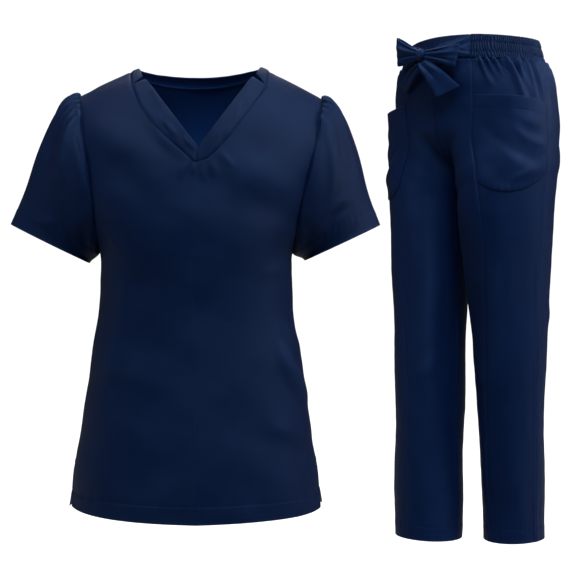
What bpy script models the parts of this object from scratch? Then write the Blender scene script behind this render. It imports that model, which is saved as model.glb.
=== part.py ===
# Medical scrubs: a V-neck top and, beside it, tie-front trousers, both hollow as if worn.
# Metres, +Z up. The origin is the middle of the neck opening, level with its highest points.
# The top faces -Y. The trousers stand on their own empty, turned to the wearer's right.
# "left" and "right" are the wearer's: left is +X on the top and +X on the trousers' empty.
import bpy
import numpy as np
from math import pi, radians
from mathutils import Matrix

# ---------------------------------------------------------------- driving sizes
SEAM_GAP = 0.0003
PANEL_CLOTH = 0.0014
BAND_CLOTH = 0.0022
NAVY = (0.0060, 0.0108, 0.0405, 1.0)
SHARP_EDGE = radians(40)
NORMAL_STEP = 1e-4

# Top, body: half width and the depths in front and behind at each height.
# Above the armholes the half width is the one that the shoulder would run on to.
TOP_COLUMNS = ("height", "half_width", "front_depth", "back_depth")
TOP_SECTIONS = (
    (-0.685, 0.1965, 0.128, 0.120),
    (-0.630, 0.1890, 0.125, 0.116),
    (-0.570, 0.1795, 0.121, 0.111),
    (-0.510, 0.1710, 0.116, 0.105),
    (-0.450, 0.1620, 0.111, 0.098),
    (-0.390, 0.1520, 0.108, 0.090),
    (-0.330, 0.1470, 0.111, 0.089),
    (-0.280, 0.1485, 0.118, 0.094),
    (-0.250, 0.1640, 0.120, 0.097),
    (-0.210, 0.1830, 0.119, 0.101),
    (-0.160, 0.2010, 0.114, 0.103),
    (-0.100, 0.2230, 0.107, 0.101),
    (-0.040, 0.2400, 0.097, 0.096),
    (0.020, 0.2450, 0.090, 0.092),
)
BOXINESS = 0.035
SETTLING_STEPS = 8
LEAN = 0.0090
LEAN_FROM, LEAN_TO = -0.05, -0.27

# Shoulder ridge: straight from the neck point to the sleeve, rounded over inside the neck.
NECK_HALF = 0.094
RIDGE_SLOPE = 0.468
RIDGE_CROWN = 0.018
SHOULDER_ROUND = 0.14
ARMHOLE_TOP_X = 0.185
ARMPIT_HEIGHT = -0.280

ARMHOLE_COLUMNS = ("height", "half_width")
ARMHOLE = (
    (-0.280, 0.1485),
    (-0.255, 0.1500),
    (-0.217, 0.1535),
    (-0.185, 0.1585),
    (-0.110, 0.1735),
    (-0.0426, 0.1850),
)

HEM_CENTRE, BACK_HEM = -0.680, -0.672
HEM_SIDE = {"left": -0.6715, "right": -0.6670}
HEM_BEND = 1.15
SLIT_TOP = -0.595
SLIT_TURN = radians(18)

# Steps of the top's grids: up the side, up the armhole, up the V, over the shoulder, and across.
SIDE_ROWS, ARM_ROWS, SEAM_ROWS, OVER_ROWS = 11, 14, 8, 2
HALF_COLUMNS, BACK_NECK_COLUMNS, BAND_COLUMNS = 8, 4, 3
CENTRE_ROWS = SIDE_ROWS + ARM_ROWS - SEAM_ROWS - OVER_ROWS

# Neck: the V, its two bands that cross at the bottom, and the band over the back.
V_POINT = (-0.0005, -0.133)
V_FOOT = (-0.0060, -0.1552)
NOTCH = {"left": (0.0995, -0.0365), "right": (-0.1035, -0.0340)}
BAND_TOP = {"left": (0.0790, -0.0230), "right": (-0.0810, -0.0250)}
BAND_SEAM = {
    "left": (V_FOOT, (0.0170, -0.1485), (0.0410, -0.1210), (0.0626, -0.0870)),
    "right": (V_FOOT, (-0.0240, -0.1390), (-0.0600, -0.1060), (-0.0900, -0.0670)),
}
BACK_BAND_END = {"left": (0.0855, -0.0165), "right": (-0.0868, -0.0185)}
SEAM_HALF = 0.107
BACK_NECK_DOWN, BACK_SEAM_DOWN = 0.079, 0.102

# Sleeve: the hem is an oval, level with the sleeve's own axis.
SLEEVE_HEM_OUT = {"left": (0.2850, -0.2380), "right": (0.2860, -0.2390)}
SLEEVE_HEM_IN = {"left": (0.1665, -0.2940), "right": (0.1665, -0.2985)}
SLEEVE_HEM_DEPTH = 0.054
SLEEVE_HEM_SHIFT, SLEEVE_HEM_BACK = -0.0072, 0.004
SLEEVE_ROWS = 8
# How the cloth leaves the armhole: outwards everywhere, more so and upwards over the cap.
SLEEVE_OUTWARD, CAP_OUTWARD, CAP_LIFT = 0.25, 2.6, 0.95
UNDERARM_REACH, CAP_REACH = 0.032, 0.130
PLEAT_RISE = 0.0030
CAP_PLEATS, PLEATED_ROWS = 4, 4

# Trousers, from the top of the waistband down, on their own empty.
TROUSERS_AT = (0.507, 0.370, 0.126)
TROUSERS_TURN = radians(-52.9)
LEG_LENGTH = 0.932
HIP_LINE, CROTCH, THIGH_LINE = -0.150, -0.245, -0.310
HIP_ROWS, RISE_ROWS, THIGH_ROWS, LEG_ROWS, FRONT_PANEL_COLUMNS = 5, 7, 3, 8, 5
CROTCH_CURVE = 0.095
CROTCH_NARROW = 8
THIGH_FROM, THIGH_TO = -0.345, -0.125
BAND_HEIGHT, BAND_RISE = 0.039, 0.0004
BAND_SEAM_SHARE = 0.190
WAIST_HALF_WIDTH, WAIST_HALF_DEPTH = 0.125, 0.110
FRONT_DIP, SIDE_DIP, DIP_GONE = 0.006, 0.009, -0.25

HIP_COLUMNS = ("height", "half_width", "front_depth", "back_depth")
HIP_SECTIONS = (
    (-0.345, 0.1655, 0.104, 0.104),
    (-0.300, 0.1715, 0.106, 0.114),
    (-0.245, 0.1760, 0.106, 0.130),
    (-0.200, 0.1750, 0.102, 0.135),
    (-0.160, 0.1745, 0.103, 0.139),
    (-0.120, 0.1690, 0.107, 0.136),
    (-0.080, 0.1580, 0.113, 0.131),
    (-0.039, 0.1390, 0.114, 0.119),
    (0.000, 0.1290, 0.107, 0.109),
)
LEG_COLUMNS = ("height", "centre_x", "left_y", "left_half_width", "left_half_depth",
               "right_y", "right_half_width", "right_half_depth")
LEG_SECTIONS = (
    (-0.940, 0.0615, 0.0500, 0.0520, 0.0645, -0.0520, 0.0660, 0.0585),
    (-0.870, 0.0645, 0.0435, 0.0532, 0.0615, -0.0480, 0.0655, 0.0605),
    (-0.780, 0.0680, 0.0355, 0.0560, 0.0635, -0.0430, 0.0650, 0.0625),
    (-0.690, 0.0715, 0.0275, 0.0590, 0.0650, -0.0380, 0.0655, 0.0650),
    (-0.600, 0.0750, 0.0195, 0.0625, 0.0695, -0.0320, 0.0670, 0.0675),
    (-0.520, 0.0780, 0.0120, 0.0665, 0.0740, -0.0275, 0.0690, 0.0700),
    (-0.427, 0.0815, 0.0025, 0.0730, 0.0840, -0.0210, 0.0745, 0.0780),
    (-0.330, 0.0850, -0.0050, 0.0820, 0.0955, -0.0110, 0.0800, 0.0880),
    (-0.245, 0.0880, -0.0060, 0.0878, 0.1050, -0.0060, 0.0878, 0.0970),
    (-0.130, 0.0880, -0.0060, 0.0878, 0.1050, -0.0060, 0.0878, 0.0970),
)
PRINCESS_COLUMNS = ("height", "share")
PRINCESS = (
    (-0.940, 0.233),
    (-0.856, 0.227),
    (-0.770, 0.231),
    (-0.650, 0.242),
    (-0.524, 0.260),
    (-0.416, 0.284),
    (-0.310, 0.275),
    (-0.244, 0.223),
    (-0.205, 0.176),
    (-0.172, 0.157),
    (-0.115, 0.161),
    (-0.040, 0.190),
    (0.000, 0.190),
)

# Gathers that fan down from the elastic, and the ruching of the elastic itself.
HIP_FOLDS = {"side": 5, "back": 6}
FOLD_RISE, FOLD_START, FOLD_GROWN, FOLD_FULL, FOLD_END = 0.0045, 0.4, -0.059, -0.049, -0.125
RUCHES, RUCHE_RISE, BAND_INSIDE_STEP = 96, 0.0016, 4
BAND_ROWS = ((0.0, 0.5), (-0.006, 1.0), (-0.012, 0.25), (-0.0195, 1.0),
             (-0.027, 0.25), (-0.033, 1.0), (-0.039, 0.5))

# Patch pockets between the princess seam and the side seam, standing open at the mouth.
POCKET_FRONT_TOP, POCKET_SIDE_TOP = -0.112, -0.127
POCKET_FOOT, POCKET_SAG = -0.264, 0.032
POCKET_STAND = 0.013
POCKET_CLEAR = 0.0011
POCKET_ROWS, POCKET_INSET = 12, 0.12
POCKET_ROUND, POCKET_BELLY, POCKET_FADE = 0.6, 1.5, 1.6

# The tie: two straps from the front's seams to the knot, two loops and two tails.
KNOT_AT = (0.000, -0.1380, -0.044)
KNOT_HALF = (0.0092, 0.0085, 0.0115)
KNOT_SEGMENTS, KNOT_RINGS, TIE_COLUMNS = 14, 8, 4
STRAP_HALF, STRAP_END_HALF = 0.0180, 0.0075
STRAP_DROP, STRAP_INSET = 0.006, 0.003
FRONT_BAND_STEPS, FRONT_BAND_ROWS = 6, 3
STRAP_RISES = (0.0020, 0.0022, 0.0027, 0.0036, 0.0052)
STRAP_END = ((0.0170, -0.1235, -0.0405), (0.0052, -0.1296, -0.0430))
LOOP_TIP = {"left": (0.070, -0.122, -0.0465), "right": (-0.0715, -0.121, -0.0300)}
LOOP_HALF = {"left": 0.0185, "right": 0.0235}
LOOP_ROOT, LOOP_ROOT_HALF, LOOP_OPEN, LOOP_ROOT_OPEN = 0.0092, 0.0065, 0.0095, 0.0030
LOOP_STEPS, LOOP_FULLNESS = 16, 0.8
# Each point of a tail: x, y, z and the half width there.
TAILS = {
    "left": ((0.0020, -0.1400, -0.0563, 0.0055), (0.0100, -0.1395, -0.0640, 0.0090),
             (0.0220, -0.1350, -0.0760, 0.0135), (0.0370, -0.1285, -0.0910, 0.0175),
             (0.0545, -0.1200, -0.1090, 0.0215)),
    "right": ((-0.0020, -0.1345, -0.0553, 0.0050), (-0.0110, -0.1340, -0.0640, 0.0080),
              (-0.0250, -0.1290, -0.0770, 0.0115), (-0.0420, -0.1225, -0.0920, 0.0145),
              (-0.0600, -0.1150, -0.1080, 0.0165)),
}
TAIL_WIDTH_ALONG = {"left": (0.85, 0.10, 0.50), "right": (0.78, -0.30, -0.42)}


# ---------------------------------------------------------------- shared helpers
def clear_scene():
    for old in list(bpy.data.objects):
        bpy.data.objects.remove(old, do_unlink=True)


def column(columns, rows, name, at):
    """Reads one column of a table at any height, as a smooth curve through its rows."""
    heights = np.array([row[0] for row in rows])
    values = np.array([row[columns.index(name)] for row in rows])
    slopes = np.gradient(values, heights)
    at = np.clip(np.asarray(at, float), heights[0], heights[-1])
    i = np.clip(np.searchsorted(heights, at) - 1, 0, len(heights) - 2)
    step = heights[i + 1] - heights[i]
    t = (at - heights[i]) / step
    return (
        (2 * t**3 - 3 * t**2 + 1) * values[i]
        + (t**3 - 2 * t**2 + t) * step * slopes[i]
        + (3 * t**2 - 2 * t**3) * values[i + 1]
        + (t**3 - t**2) * step * slopes[i + 1]
    )


def ramp(value, start, end):
    """Goes smoothly from 0 at start to 1 at end."""
    t = np.clip((value - start) / (end - start), 0, 1)
    return t * t * (3 - 2 * t)


def along(points, shares):
    """Points at these shares of the length of a route given by a few points."""
    points = np.array(points, float)
    length = np.concatenate([[0], np.cumsum(np.linalg.norm(np.diff(points, axis=0), axis=1))])
    knots = length / length[-1]
    return np.stack([np.interp(shares, knots, points[:, k]) for k in range(points.shape[1])], -1)


def blend_curves(bottom, top, left, right):
    """Fills a four-sided patch from its edges: bottom and top run across, left and right run up."""
    across = np.linspace(0, 1, len(bottom))[None, :, None]
    up = np.linspace(0, 1, len(left))[:, None, None]
    ruled = (1 - up) * bottom[None] + up * top[None]
    ruled = ruled + (1 - across) * left[:, None] + across * right[:, None]
    corners = (
        (1 - across) * (1 - up) * bottom[0]
        + across * (1 - up) * bottom[-1]
        + (1 - across) * up * top[0]
        + across * up * top[-1]
    )
    return ruled - corners


def unit(vectors):
    return vectors / np.maximum(np.linalg.norm(vectors, axis=-1, keepdims=True), 1e-12)


def normals_of(surface, first, second):
    """Outward normals of surface(first, second), from small steps each way."""
    step = NORMAL_STEP
    d_first = surface(first + step, second) - surface(first - step, second)
    d_second = surface(first, second + step) - surface(first, second - step)
    return unit(np.cross(d_first, d_second))


def drawn_in(grid, edges, by=SEAM_GAP / 2):
    """Draws the named edges of a grid of points in by half a seam gap."""
    grid = grid.copy()
    if "first_row" in edges:
        grid[0] += by * unit(grid[1] - grid[0])
    if "last_row" in edges:
        grid[-1] += by * unit(grid[-2] - grid[-1])
    if "first_col" in edges:
        grid[:, 0] += by * unit(grid[:, 1] - grid[:, 0])
    if "last_col" in edges:
        grid[:, -1] += by * unit(grid[:, -2] - grid[:, -1])
    return grid


def grid_faces(rows, cols, closed, start=0):
    """Quads between neighbouring rows and columns of a grid; closed joins its last column to its first."""
    faces = []
    for r in range(rows - 1):
        for c in range(cols if closed else cols - 1):
            following = (c + 1) % cols
            low, high = start + r * cols, start + (r + 1) * cols
            faces.append((low + c, low + following, high + following, high + c))
    return faces


def material(name, roughness=0.72):
    made = bpy.data.materials.new(name)
    made.use_nodes = True
    shader = made.node_tree.nodes["Principled BSDF"]
    shader.inputs["Base Color"].default_value = NAVY
    shader.inputs["Roughness"].default_value = roughness
    shader.inputs["Metallic"].default_value = 0.0
    return made


def add_object(name, points, faces, collection, parent=None):
    mesh = bpy.data.meshes.new(name)
    mesh.from_pydata([tuple(p) for p in points], [], faces)
    mesh.validate()
    mesh.shade_smooth()
    mesh.set_sharp_from_angle(angle=SHARP_EDGE)
    mesh.materials.append(material(name + "_cloth"))
    made = bpy.data.objects.new(name, mesh)
    made.parent = parent
    collection.objects.link(made)
    return made


def facing_out(points, faces):
    """The same faces, all turned over if the body they close is inside out."""
    fans = np.array([(face[0], face[k], face[k + 1]) for face in faces for k in range(1, len(face) - 1)])
    a, b, c = (points[fans[:, k]] for k in range(3))
    volume = np.sum(a * np.cross(b, c))
    return faces if volume > 0 else [face[::-1] for face in faces]


def cloth_wall(name, outer_grids, inner_grids, collection, parent=None, closed=False):
    """One closed wall from grids of outer and inner points; grids that share points are sewn."""
    outer = np.concatenate([grid.reshape(-1, 3) for grid in outer_grids])
    inner = np.concatenate([grid.reshape(-1, 3) for grid in inner_grids])
    faces, start = [], 0
    for grid in outer_grids:
        faces += grid_faces(grid.shape[0], grid.shape[1], closed, start)
        start += grid.shape[0] * grid.shape[1]
    _, first, index = np.unique(np.round(outer, 7), axis=0, return_index=True, return_inverse=True)
    index = index.reshape(-1)
    outer, inner = outer[first], inner[first]
    faces = [tuple(int(index[k]) for k in face) for face in faces]
    count = len(outer)
    directed = {(face[k], face[(k + 1) % 4]) for face in faces for k in range(4)}
    rim = [(b, a, a + count, b + count) for a, b in directed if (b, a) not in directed]
    inside = [tuple(k + count for k in face[::-1]) for face in faces]
    points = np.concatenate([outer, inner])
    return add_object(name, points, facing_out(points, faces + inside + sorted(rim)), collection, parent)


# ---------------------------------------------------------------- the top
def side_share(theta):
    return (np.sin(theta) + BOXINESS * np.sin(3 * theta)) / (1 - BOXINESS)


def depth_share(theta):
    return (np.cos(theta) - BOXINESS * np.cos(3 * theta)) / (1 - BOXINESS)


def theta_of(share):
    """The angle round the body whose side share is this."""
    angles = np.linspace(-pi / 2, pi / 2, 721)
    return np.interp(share, side_share(angles), angles)


def ridge(x):
    """Height of the shoulder line over x."""
    x = np.abs(x)
    crown = RIDGE_CROWN * (1 - (x / NECK_HALF) ** 2)
    return np.where(x < NECK_HALF, crown, -RIDGE_SLOPE * (x - NECK_HALF))


def drop_of(down):
    """How far a point lies below the ridge when it is this far down the rounded cloth."""
    down = np.abs(down)
    turn = np.minimum(down / SHOULDER_ROUND, pi / 2)
    return SHOULDER_ROUND * (1 - np.cos(turn)) + np.maximum(down - SHOULDER_ROUND * pi / 2, 0)


def down_of(drop):
    drop = np.maximum(drop, 0)
    turned = SHOULDER_ROUND * np.arccos(1 - np.minimum(drop / SHOULDER_ROUND, 1))
    return turned + np.maximum(drop - SHOULDER_ROUND, 0)


def top_column(name, z):
    return column(TOP_COLUMNS, TOP_SECTIONS, name, z)


def torso(theta, down):
    """The body of the top: theta goes round from the middle, down is negative in front and
    positive behind, measured over the shoulder ridge."""
    turn = np.minimum(np.abs(down) / SHOULDER_ROUND, pi / 2)
    x = side_share(theta) * ARMHOLE_TOP_X
    for _ in range(SETTLING_STEPS):
        z = ridge(x) - drop_of(down)
        x = top_column("half_width", z) * side_share(theta)
    depth = np.where(down < 0, -top_column("front_depth", z), top_column("back_depth", z))
    y = depth * depth_share(theta) * np.sin(turn)
    return np.stack([x - LEAN * ramp(z, LEAN_FROM, LEAN_TO), y, z], -1)


def place(x, z, face):
    """(theta, down) of the point at x and height z on the front (face -1) or back (face 1)."""
    x, z = np.asarray(x, float), np.asarray(z, float)
    theta = theta_of(x / top_column("half_width", z))
    return np.stack([theta, face * down_of(ridge(x) - z)], -1)


def side_heights(hem):
    return np.linspace(hem, ARMPIT_HEIGHT, SIDE_ROWS + 1)


def armhole_heights():
    """Heights up the armhole, closer together where it turns under the arm and over the shoulder."""
    t = np.linspace(0, 1, ARM_ROWS + 1)
    top = ridge(ARMHOLE_TOP_X)
    return ARMPIT_HEIGHT + (top - ARMPIT_HEIGHT) * (1 - np.cos(pi * t)) / 2


def armhole_domain(sign, face):
    z = armhole_heights()
    x = column(ARMHOLE_COLUMNS, ARMHOLE, "half_width", z)
    domain = place(sign * x, z, face)
    domain[-1, 1] = 0.0
    domain[-1, 0] = theta_of(sign * ARMHOLE_TOP_X / top_column("half_width", z[-1]))
    domain[0, 0] = sign * pi / 2
    return domain


def front_side_domain(side):
    """Side seam from the hem to the armpit; below the slit the front's edge swings forward."""
    sign = 1 if side == "left" else -1
    z = side_heights(HEM_SIDE[side])
    opened = np.clip((SLIT_TOP - z) / (SLIT_TOP - z[0]), 0, 1)
    theta = sign * (pi / 2 - SLIT_TURN * opened)
    x = top_column("half_width", z) * side_share(theta)
    return np.stack([theta, -down_of(ridge(x) - z)], -1)


def hem_domain(theta, z, face):
    x = top_column("half_width", z) * side_share(theta)
    return np.stack([theta, face * down_of(ridge(x) - z)], -1)


def neck_seam_points(side):
    """The seam between a V band and the front, from the bottom of the V up to the notch."""
    return along(BAND_SEAM[side] + (NOTCH[side],), np.linspace(0, 1, SEAM_ROWS + 1))


def over_seam_points(side):
    """The short seam from the notch over to the shoulder ridge, beside the back's band."""
    sign = 1 if side == "left" else -1
    ridge_end = (sign * SEAM_HALF, float(ridge(SEAM_HALF)))
    return along((NOTCH[side], ridge_end), np.linspace(0, 1, OVER_ROWS + 1))


def front_half(side):
    sign = 1 if side == "left" else -1
    seam = np.concatenate([neck_seam_points(side), over_seam_points(side)[1:]])
    centre_z = np.linspace(HEM_CENTRE, seam[0, 1], CENTRE_ROWS + 1)
    centre = place(V_FOOT[0] * ramp(centre_z, HEM_CENTRE, V_FOOT[1]), centre_z, -1)
    neck = place(seam[1:, 0], seam[1:, 1], -1)
    neck[-1, 1] = 0.0
    left = np.concatenate([centre, neck])
    right = np.concatenate([front_side_domain(side), armhole_domain(sign, -1)[1:]])
    across = np.linspace(0, 1, HALF_COLUMNS + 1)
    hem_theta = across * right[0, 0]
    hem_z = HEM_CENTRE + (HEM_SIDE[side] - HEM_CENTRE) * across**HEM_BEND
    top_x = sign * (SEAM_HALF + (ARMHOLE_TOP_X - SEAM_HALF) * across)
    top = place(top_x, ridge(top_x), -1)
    top[:, 1] = 0.0
    return blend_curves(hem_domain(hem_theta, hem_z, -1), top, left, right)


def make_top_front(collection):
    outer, inner = [], []
    for side in ("left", "right"):
        domain = front_half(side)
        theta, down = domain[..., 0], domain[..., 1]
        points, outward = torso(theta, down), normals_of(torso, theta, down)
        outward *= np.sign(-outward[2:3, 0:1, 1:2])
        grids = []
        for offset in (0.0, -PANEL_CLOTH):
            grid = points + outward * offset
            edged = drawn_in(grid, ("last_row", "last_col"))
            edged[CENTRE_ROWS:, 0] = drawn_in(grid, ("first_col",))[CENTRE_ROWS:, 0]
            edged[CENTRE_ROWS, 0] = grid[CENTRE_ROWS, 0] + (0, 0, -SEAM_GAP / 2)
            edged[-1, 0] = drawn_in(drawn_in(grid, ("first_col",)), ("last_row",))[-1, 0]
            grids.append(edged)
        outer.append(grids[0] if side == "left" else grids[0][:, ::-1])
        inner.append(grids[1] if side == "left" else grids[1][:, ::-1])
    cloth_wall("top_front", outer, inner, collection)


def back_half(sign):
    seam_x = sign * SEAM_HALF * np.cos(np.linspace(pi / 2, 0, BACK_NECK_COLUMNS + 1))
    seam_down = BACK_SEAM_DOWN * np.sin(np.linspace(pi / 2, 0, BACK_NECK_COLUMNS + 1))
    seam_z = ridge(seam_x) - drop_of(seam_down)
    neck = np.stack([theta_of(seam_x / top_column("half_width", seam_z)), seam_down], -1)
    shoulder_x = sign * np.linspace(SEAM_HALF, ARMHOLE_TOP_X, HALF_COLUMNS - BACK_NECK_COLUMNS + 1)
    shoulder = place(shoulder_x, ridge(shoulder_x), 1)
    shoulder[:, 1] = 0.0
    top = np.concatenate([neck, shoulder[1:]])
    side_z = side_heights(BACK_HEM)
    sewn = side_z > SLIT_TOP
    side_z[sewn] = side_heights(HEM_SIDE["left" if sign > 0 else "right"])[sewn]
    side = hem_domain(np.full(SIDE_ROWS + 1, sign * pi / 2), side_z, 1)
    right = np.concatenate([side, armhole_domain(sign, 1)[1:]])
    rows = SIDE_ROWS + ARM_ROWS
    centre = place(np.zeros(rows + 1), np.linspace(BACK_HEM, seam_z[0], rows + 1), 1)
    bottom = hem_domain(np.linspace(0, sign * pi / 2, HALF_COLUMNS + 1), np.full(HALF_COLUMNS + 1, BACK_HEM), 1)
    return blend_curves(bottom, top, centre, right)


def make_top_back(collection):
    outer, inner = [], []
    for sign in (1, -1):
        domain = back_half(sign)
        theta, down = domain[..., 0], domain[..., 1]
        points, outward = torso(theta, down), normals_of(torso, theta, down)
        outward *= np.sign(outward[2:3, 0:1, 1:2])
        grids = [drawn_in(points + outward * k, ("last_row", "last_col")) for k in (0.0, -PANEL_CLOTH)]
        outer.append(grids[0] if sign < 0 else grids[0][:, ::-1])
        inner.append(grids[1] if sign < 0 else grids[1][:, ::-1])
    cloth_wall("top_back", outer, inner, collection)


def strip(name, edge, seam, collection, gap_edges):
    """A folded band on the body of the top, between two routes given in (theta, down)."""
    across = np.linspace(0, 1, BAND_COLUMNS + 1)[None, :, None]
    domain = edge[:, None] * (1 - across) + seam[:, None] * across
    theta, down = domain[..., 0], domain[..., 1]
    points, outward = torso(theta, down), normals_of(torso, theta, down)
    away = points - np.array([0, 0, ARMPIT_HEIGHT])
    outward *= np.sign((outward * away).sum(-1, keepdims=True))
    rise = (BAND_CLOTH - PANEL_CLOTH) / 2
    outer, inner = (drawn_in(points + outward * k, gap_edges) for k in (rise, rise - BAND_CLOTH))
    cloth_wall(name, [outer], [inner], collection)


def make_neck_bands(collection):
    shares = np.linspace(0, 1, SEAM_ROWS + 1)
    for side in ("left", "right"):
        seam = neck_seam_points(side)
        edge = along((V_POINT, BAND_TOP[side]), shares)
        strip("neck_band_" + side, place(edge[:, 0], edge[:, 1], -1), place(seam[:, 0], seam[:, 1], -1),
              collection, ("first_row", "last_row", "last_col"))
    routes = []
    for kind in ("edge", "seam"):
        half, down = (NECK_HALF, BACK_NECK_DOWN) if kind == "edge" else (SEAM_HALF, BACK_SEAM_DOWN)
        start = BACK_BAND_END if kind == "edge" else NOTCH
        turn = np.linspace(0, pi, 2 * BACK_NECK_COLUMNS + 1)
        x, downs = half * np.cos(turn), down * np.sin(turn)
        z = ridge(x) - drop_of(downs)
        behind = np.stack([theta_of(x / top_column("half_width", z)), downs], -1)
        ahead = {}
        for side, end in (("left", x[0]), ("right", x[-1])):
            route = along((start[side], (end, float(ridge(end)))), np.linspace(0, 1, OVER_ROWS + 1))[:-1]
            ahead[side] = place(route[:, 0], route[:, 1], -1)
        routes.append(np.concatenate([ahead["left"], behind, ahead["right"][::-1]]))
    strip("back_neck_band", routes[0], routes[1], collection, ("first_row", "last_row", "last_col"))


def armhole_ring(sign):
    """The armhole's points: over the shoulder first, then down the front, and up the back."""
    front = torso(*armhole_domain(sign, -1).T)[::-1]
    back = torso(*armhole_domain(sign, 1).T)
    return np.concatenate([front, back[1:-1]])


def sleeve_frame(sign):
    side = "left" if sign > 0 else "right"
    out = np.array((sign * SLEEVE_HEM_OUT[side][0], 0, SLEEVE_HEM_OUT[side][1]))
    into = np.array((sign * SLEEVE_HEM_IN[side][0], 0, SLEEVE_HEM_IN[side][1]))
    shift = np.array((SLEEVE_HEM_SHIFT, SLEEVE_HEM_BACK, 0))
    across = (out - into) / 2
    axis = unit(np.cross(across, (0, sign, 0)))
    return (out + into) / 2 + shift, across, axis * np.sign(-axis[2])


def sleeve_surface(sign, rows):
    """Rows of points from the armhole to the hem, each a curve that leaves the seam outwards."""
    ring = armhole_ring(sign)
    centre, across, axis = sleeve_frame(sign)
    turn = np.linspace(0, 2 * pi, len(ring), endpoint=False)[:, None]
    hem = centre + np.cos(turn) * across - np.sin(turn) * np.array((0, SLEEVE_HEM_DEPTH, 0))
    cap = ((1 + np.cos(turn)) / 2) ** 1.5
    outward = unit(np.cos(turn) * unit(across) + np.sin(turn) * np.array((0, -0.8, 0)))
    start = unit(axis + (SLEEVE_OUTWARD + CAP_OUTWARD * cap) * outward + CAP_LIFT * cap * np.array((0, 0, 1)))
    reach = UNDERARM_REACH + (CAP_REACH - UNDERARM_REACH) * (1 + np.cos(turn)) / 2
    length = np.linalg.norm(hem - ring, axis=1, keepdims=True)
    t = np.linspace(0, 1, rows + 1)[:, None, None]
    return (
        (2 * t**3 - 3 * t**2 + 1) * ring
        + (t**3 - 2 * t**2 + t) * start * reach
        + (3 * t**2 - 2 * t**3) * hem
        + (t**3 - t**2) * axis * length
    )


def grid_normals(grid, closed):
    """Normals of a grid of points, along and round it."""
    d_row = np.gradient(grid, axis=0, edge_order=2)
    if closed:
        d_col = np.roll(grid, -1, axis=1) - np.roll(grid, 1, axis=1)
    else:
        d_col = np.gradient(grid, axis=1, edge_order=2)
    return unit(np.cross(d_col, d_row))


def make_sleeves(collection):
    for side, sign in (("left", 1), ("right", -1)):
        grid = sleeve_surface(sign, SLEEVE_ROWS)
        grid[0] += SEAM_GAP * unit(grid[1] - grid[0])
        outward = grid_normals(grid, True)
        centre = grid.mean(axis=1, keepdims=True)
        outward *= np.sign((outward * (grid - centre)).sum(-1).mean())
        count = grid.shape[1]
        step = np.minimum(np.arange(count), count - np.arange(count))
        pleat = PLEAT_RISE * (step % 2) * (step <= CAP_PLEATS)
        fade = (1 - ramp(np.arange(SLEEVE_ROWS + 1), 0, PLEATED_ROWS))[:, None]
        outer = grid + outward * (pleat[None] * fade)[..., None]
        inner = grid - outward * PANEL_CLOTH
        cloth_wall("sleeve_" + side, [outer], [inner], collection, closed=True)


# ---------------------------------------------------------------- the trousers
def hip_column(name, z):
    return column(HIP_COLUMNS, HIP_SECTIONS, name, z)


def leg_column(name, z):
    return column(LEG_COLUMNS, LEG_SECTIONS, name, z)


def trouser_surface(side):
    """A function of (share, height): share 0 is the middle of the front or the inner leg,
    0.5 the side seam and 1 the middle of the back or the inner leg again."""
    sign = 1 if side == "left" else -1

    def surface(share, z):
        turn = pi * share
        depth = np.where(share < 0.5, hip_column("front_depth", z), hip_column("back_depth", z))
        hip = np.stack([hip_column("half_width", z) * np.sin(turn), -depth * np.cos(turn), z], -1)
        leg_x = leg_column("centre_x", z) - leg_column(side + "_half_width", z) * np.cos(2 * turn)
        leg_y = leg_column(side + "_y", z) - leg_column(side + "_half_depth", z) * np.sin(2 * turn)
        leg = np.stack([leg_x, leg_y, z], -1)
        t = np.clip((z - CROTCH) / CROTCH_CURVE, 0, 1)
        near_seam = np.abs(np.cos(turn)) ** CROTCH_NARROW
        mixed = near_seam * np.sqrt(np.maximum(1 - (1 - t) ** 2, 0))
        mixed = (mixed + (1 - near_seam) * ramp(z, THIGH_FROM, THIGH_TO))[..., None]
        point = mixed * hip + (1 - mixed) * leg
        dip = FRONT_DIP * (1 + np.cos(turn)) / 2 + SIDE_DIP * np.sin(turn) ** 2
        point[..., 2] -= dip * ramp(z, DIP_GONE, -BAND_HEIGHT)
        point[..., 0] *= sign
        return point

    return surface


def princess_share(z):
    """Where the front's long seam runs, from the waistband to the hem."""
    return column(PRINCESS_COLUMNS, PRINCESS, "share", z)


def panel_heights():
    """Rows of a trouser panel: close over the hips and closest at the crotch, wider down the leg."""
    hips = np.linspace(-BAND_HEIGHT - SEAM_GAP, HIP_LINE, HIP_ROWS + 1)[:-1]
    t = np.linspace(0, 1, RISE_ROWS + 1)[:-1]
    rise = HIP_LINE + (CROTCH - HIP_LINE) * np.sin(pi / 2 * t)
    thigh = np.linspace(CROTCH, THIGH_LINE, THIGH_ROWS + 1)[:-1]
    return np.concatenate([hips, rise, thigh, np.linspace(THIGH_LINE, -LEG_LENGTH, LEG_ROWS + 1)])


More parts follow.
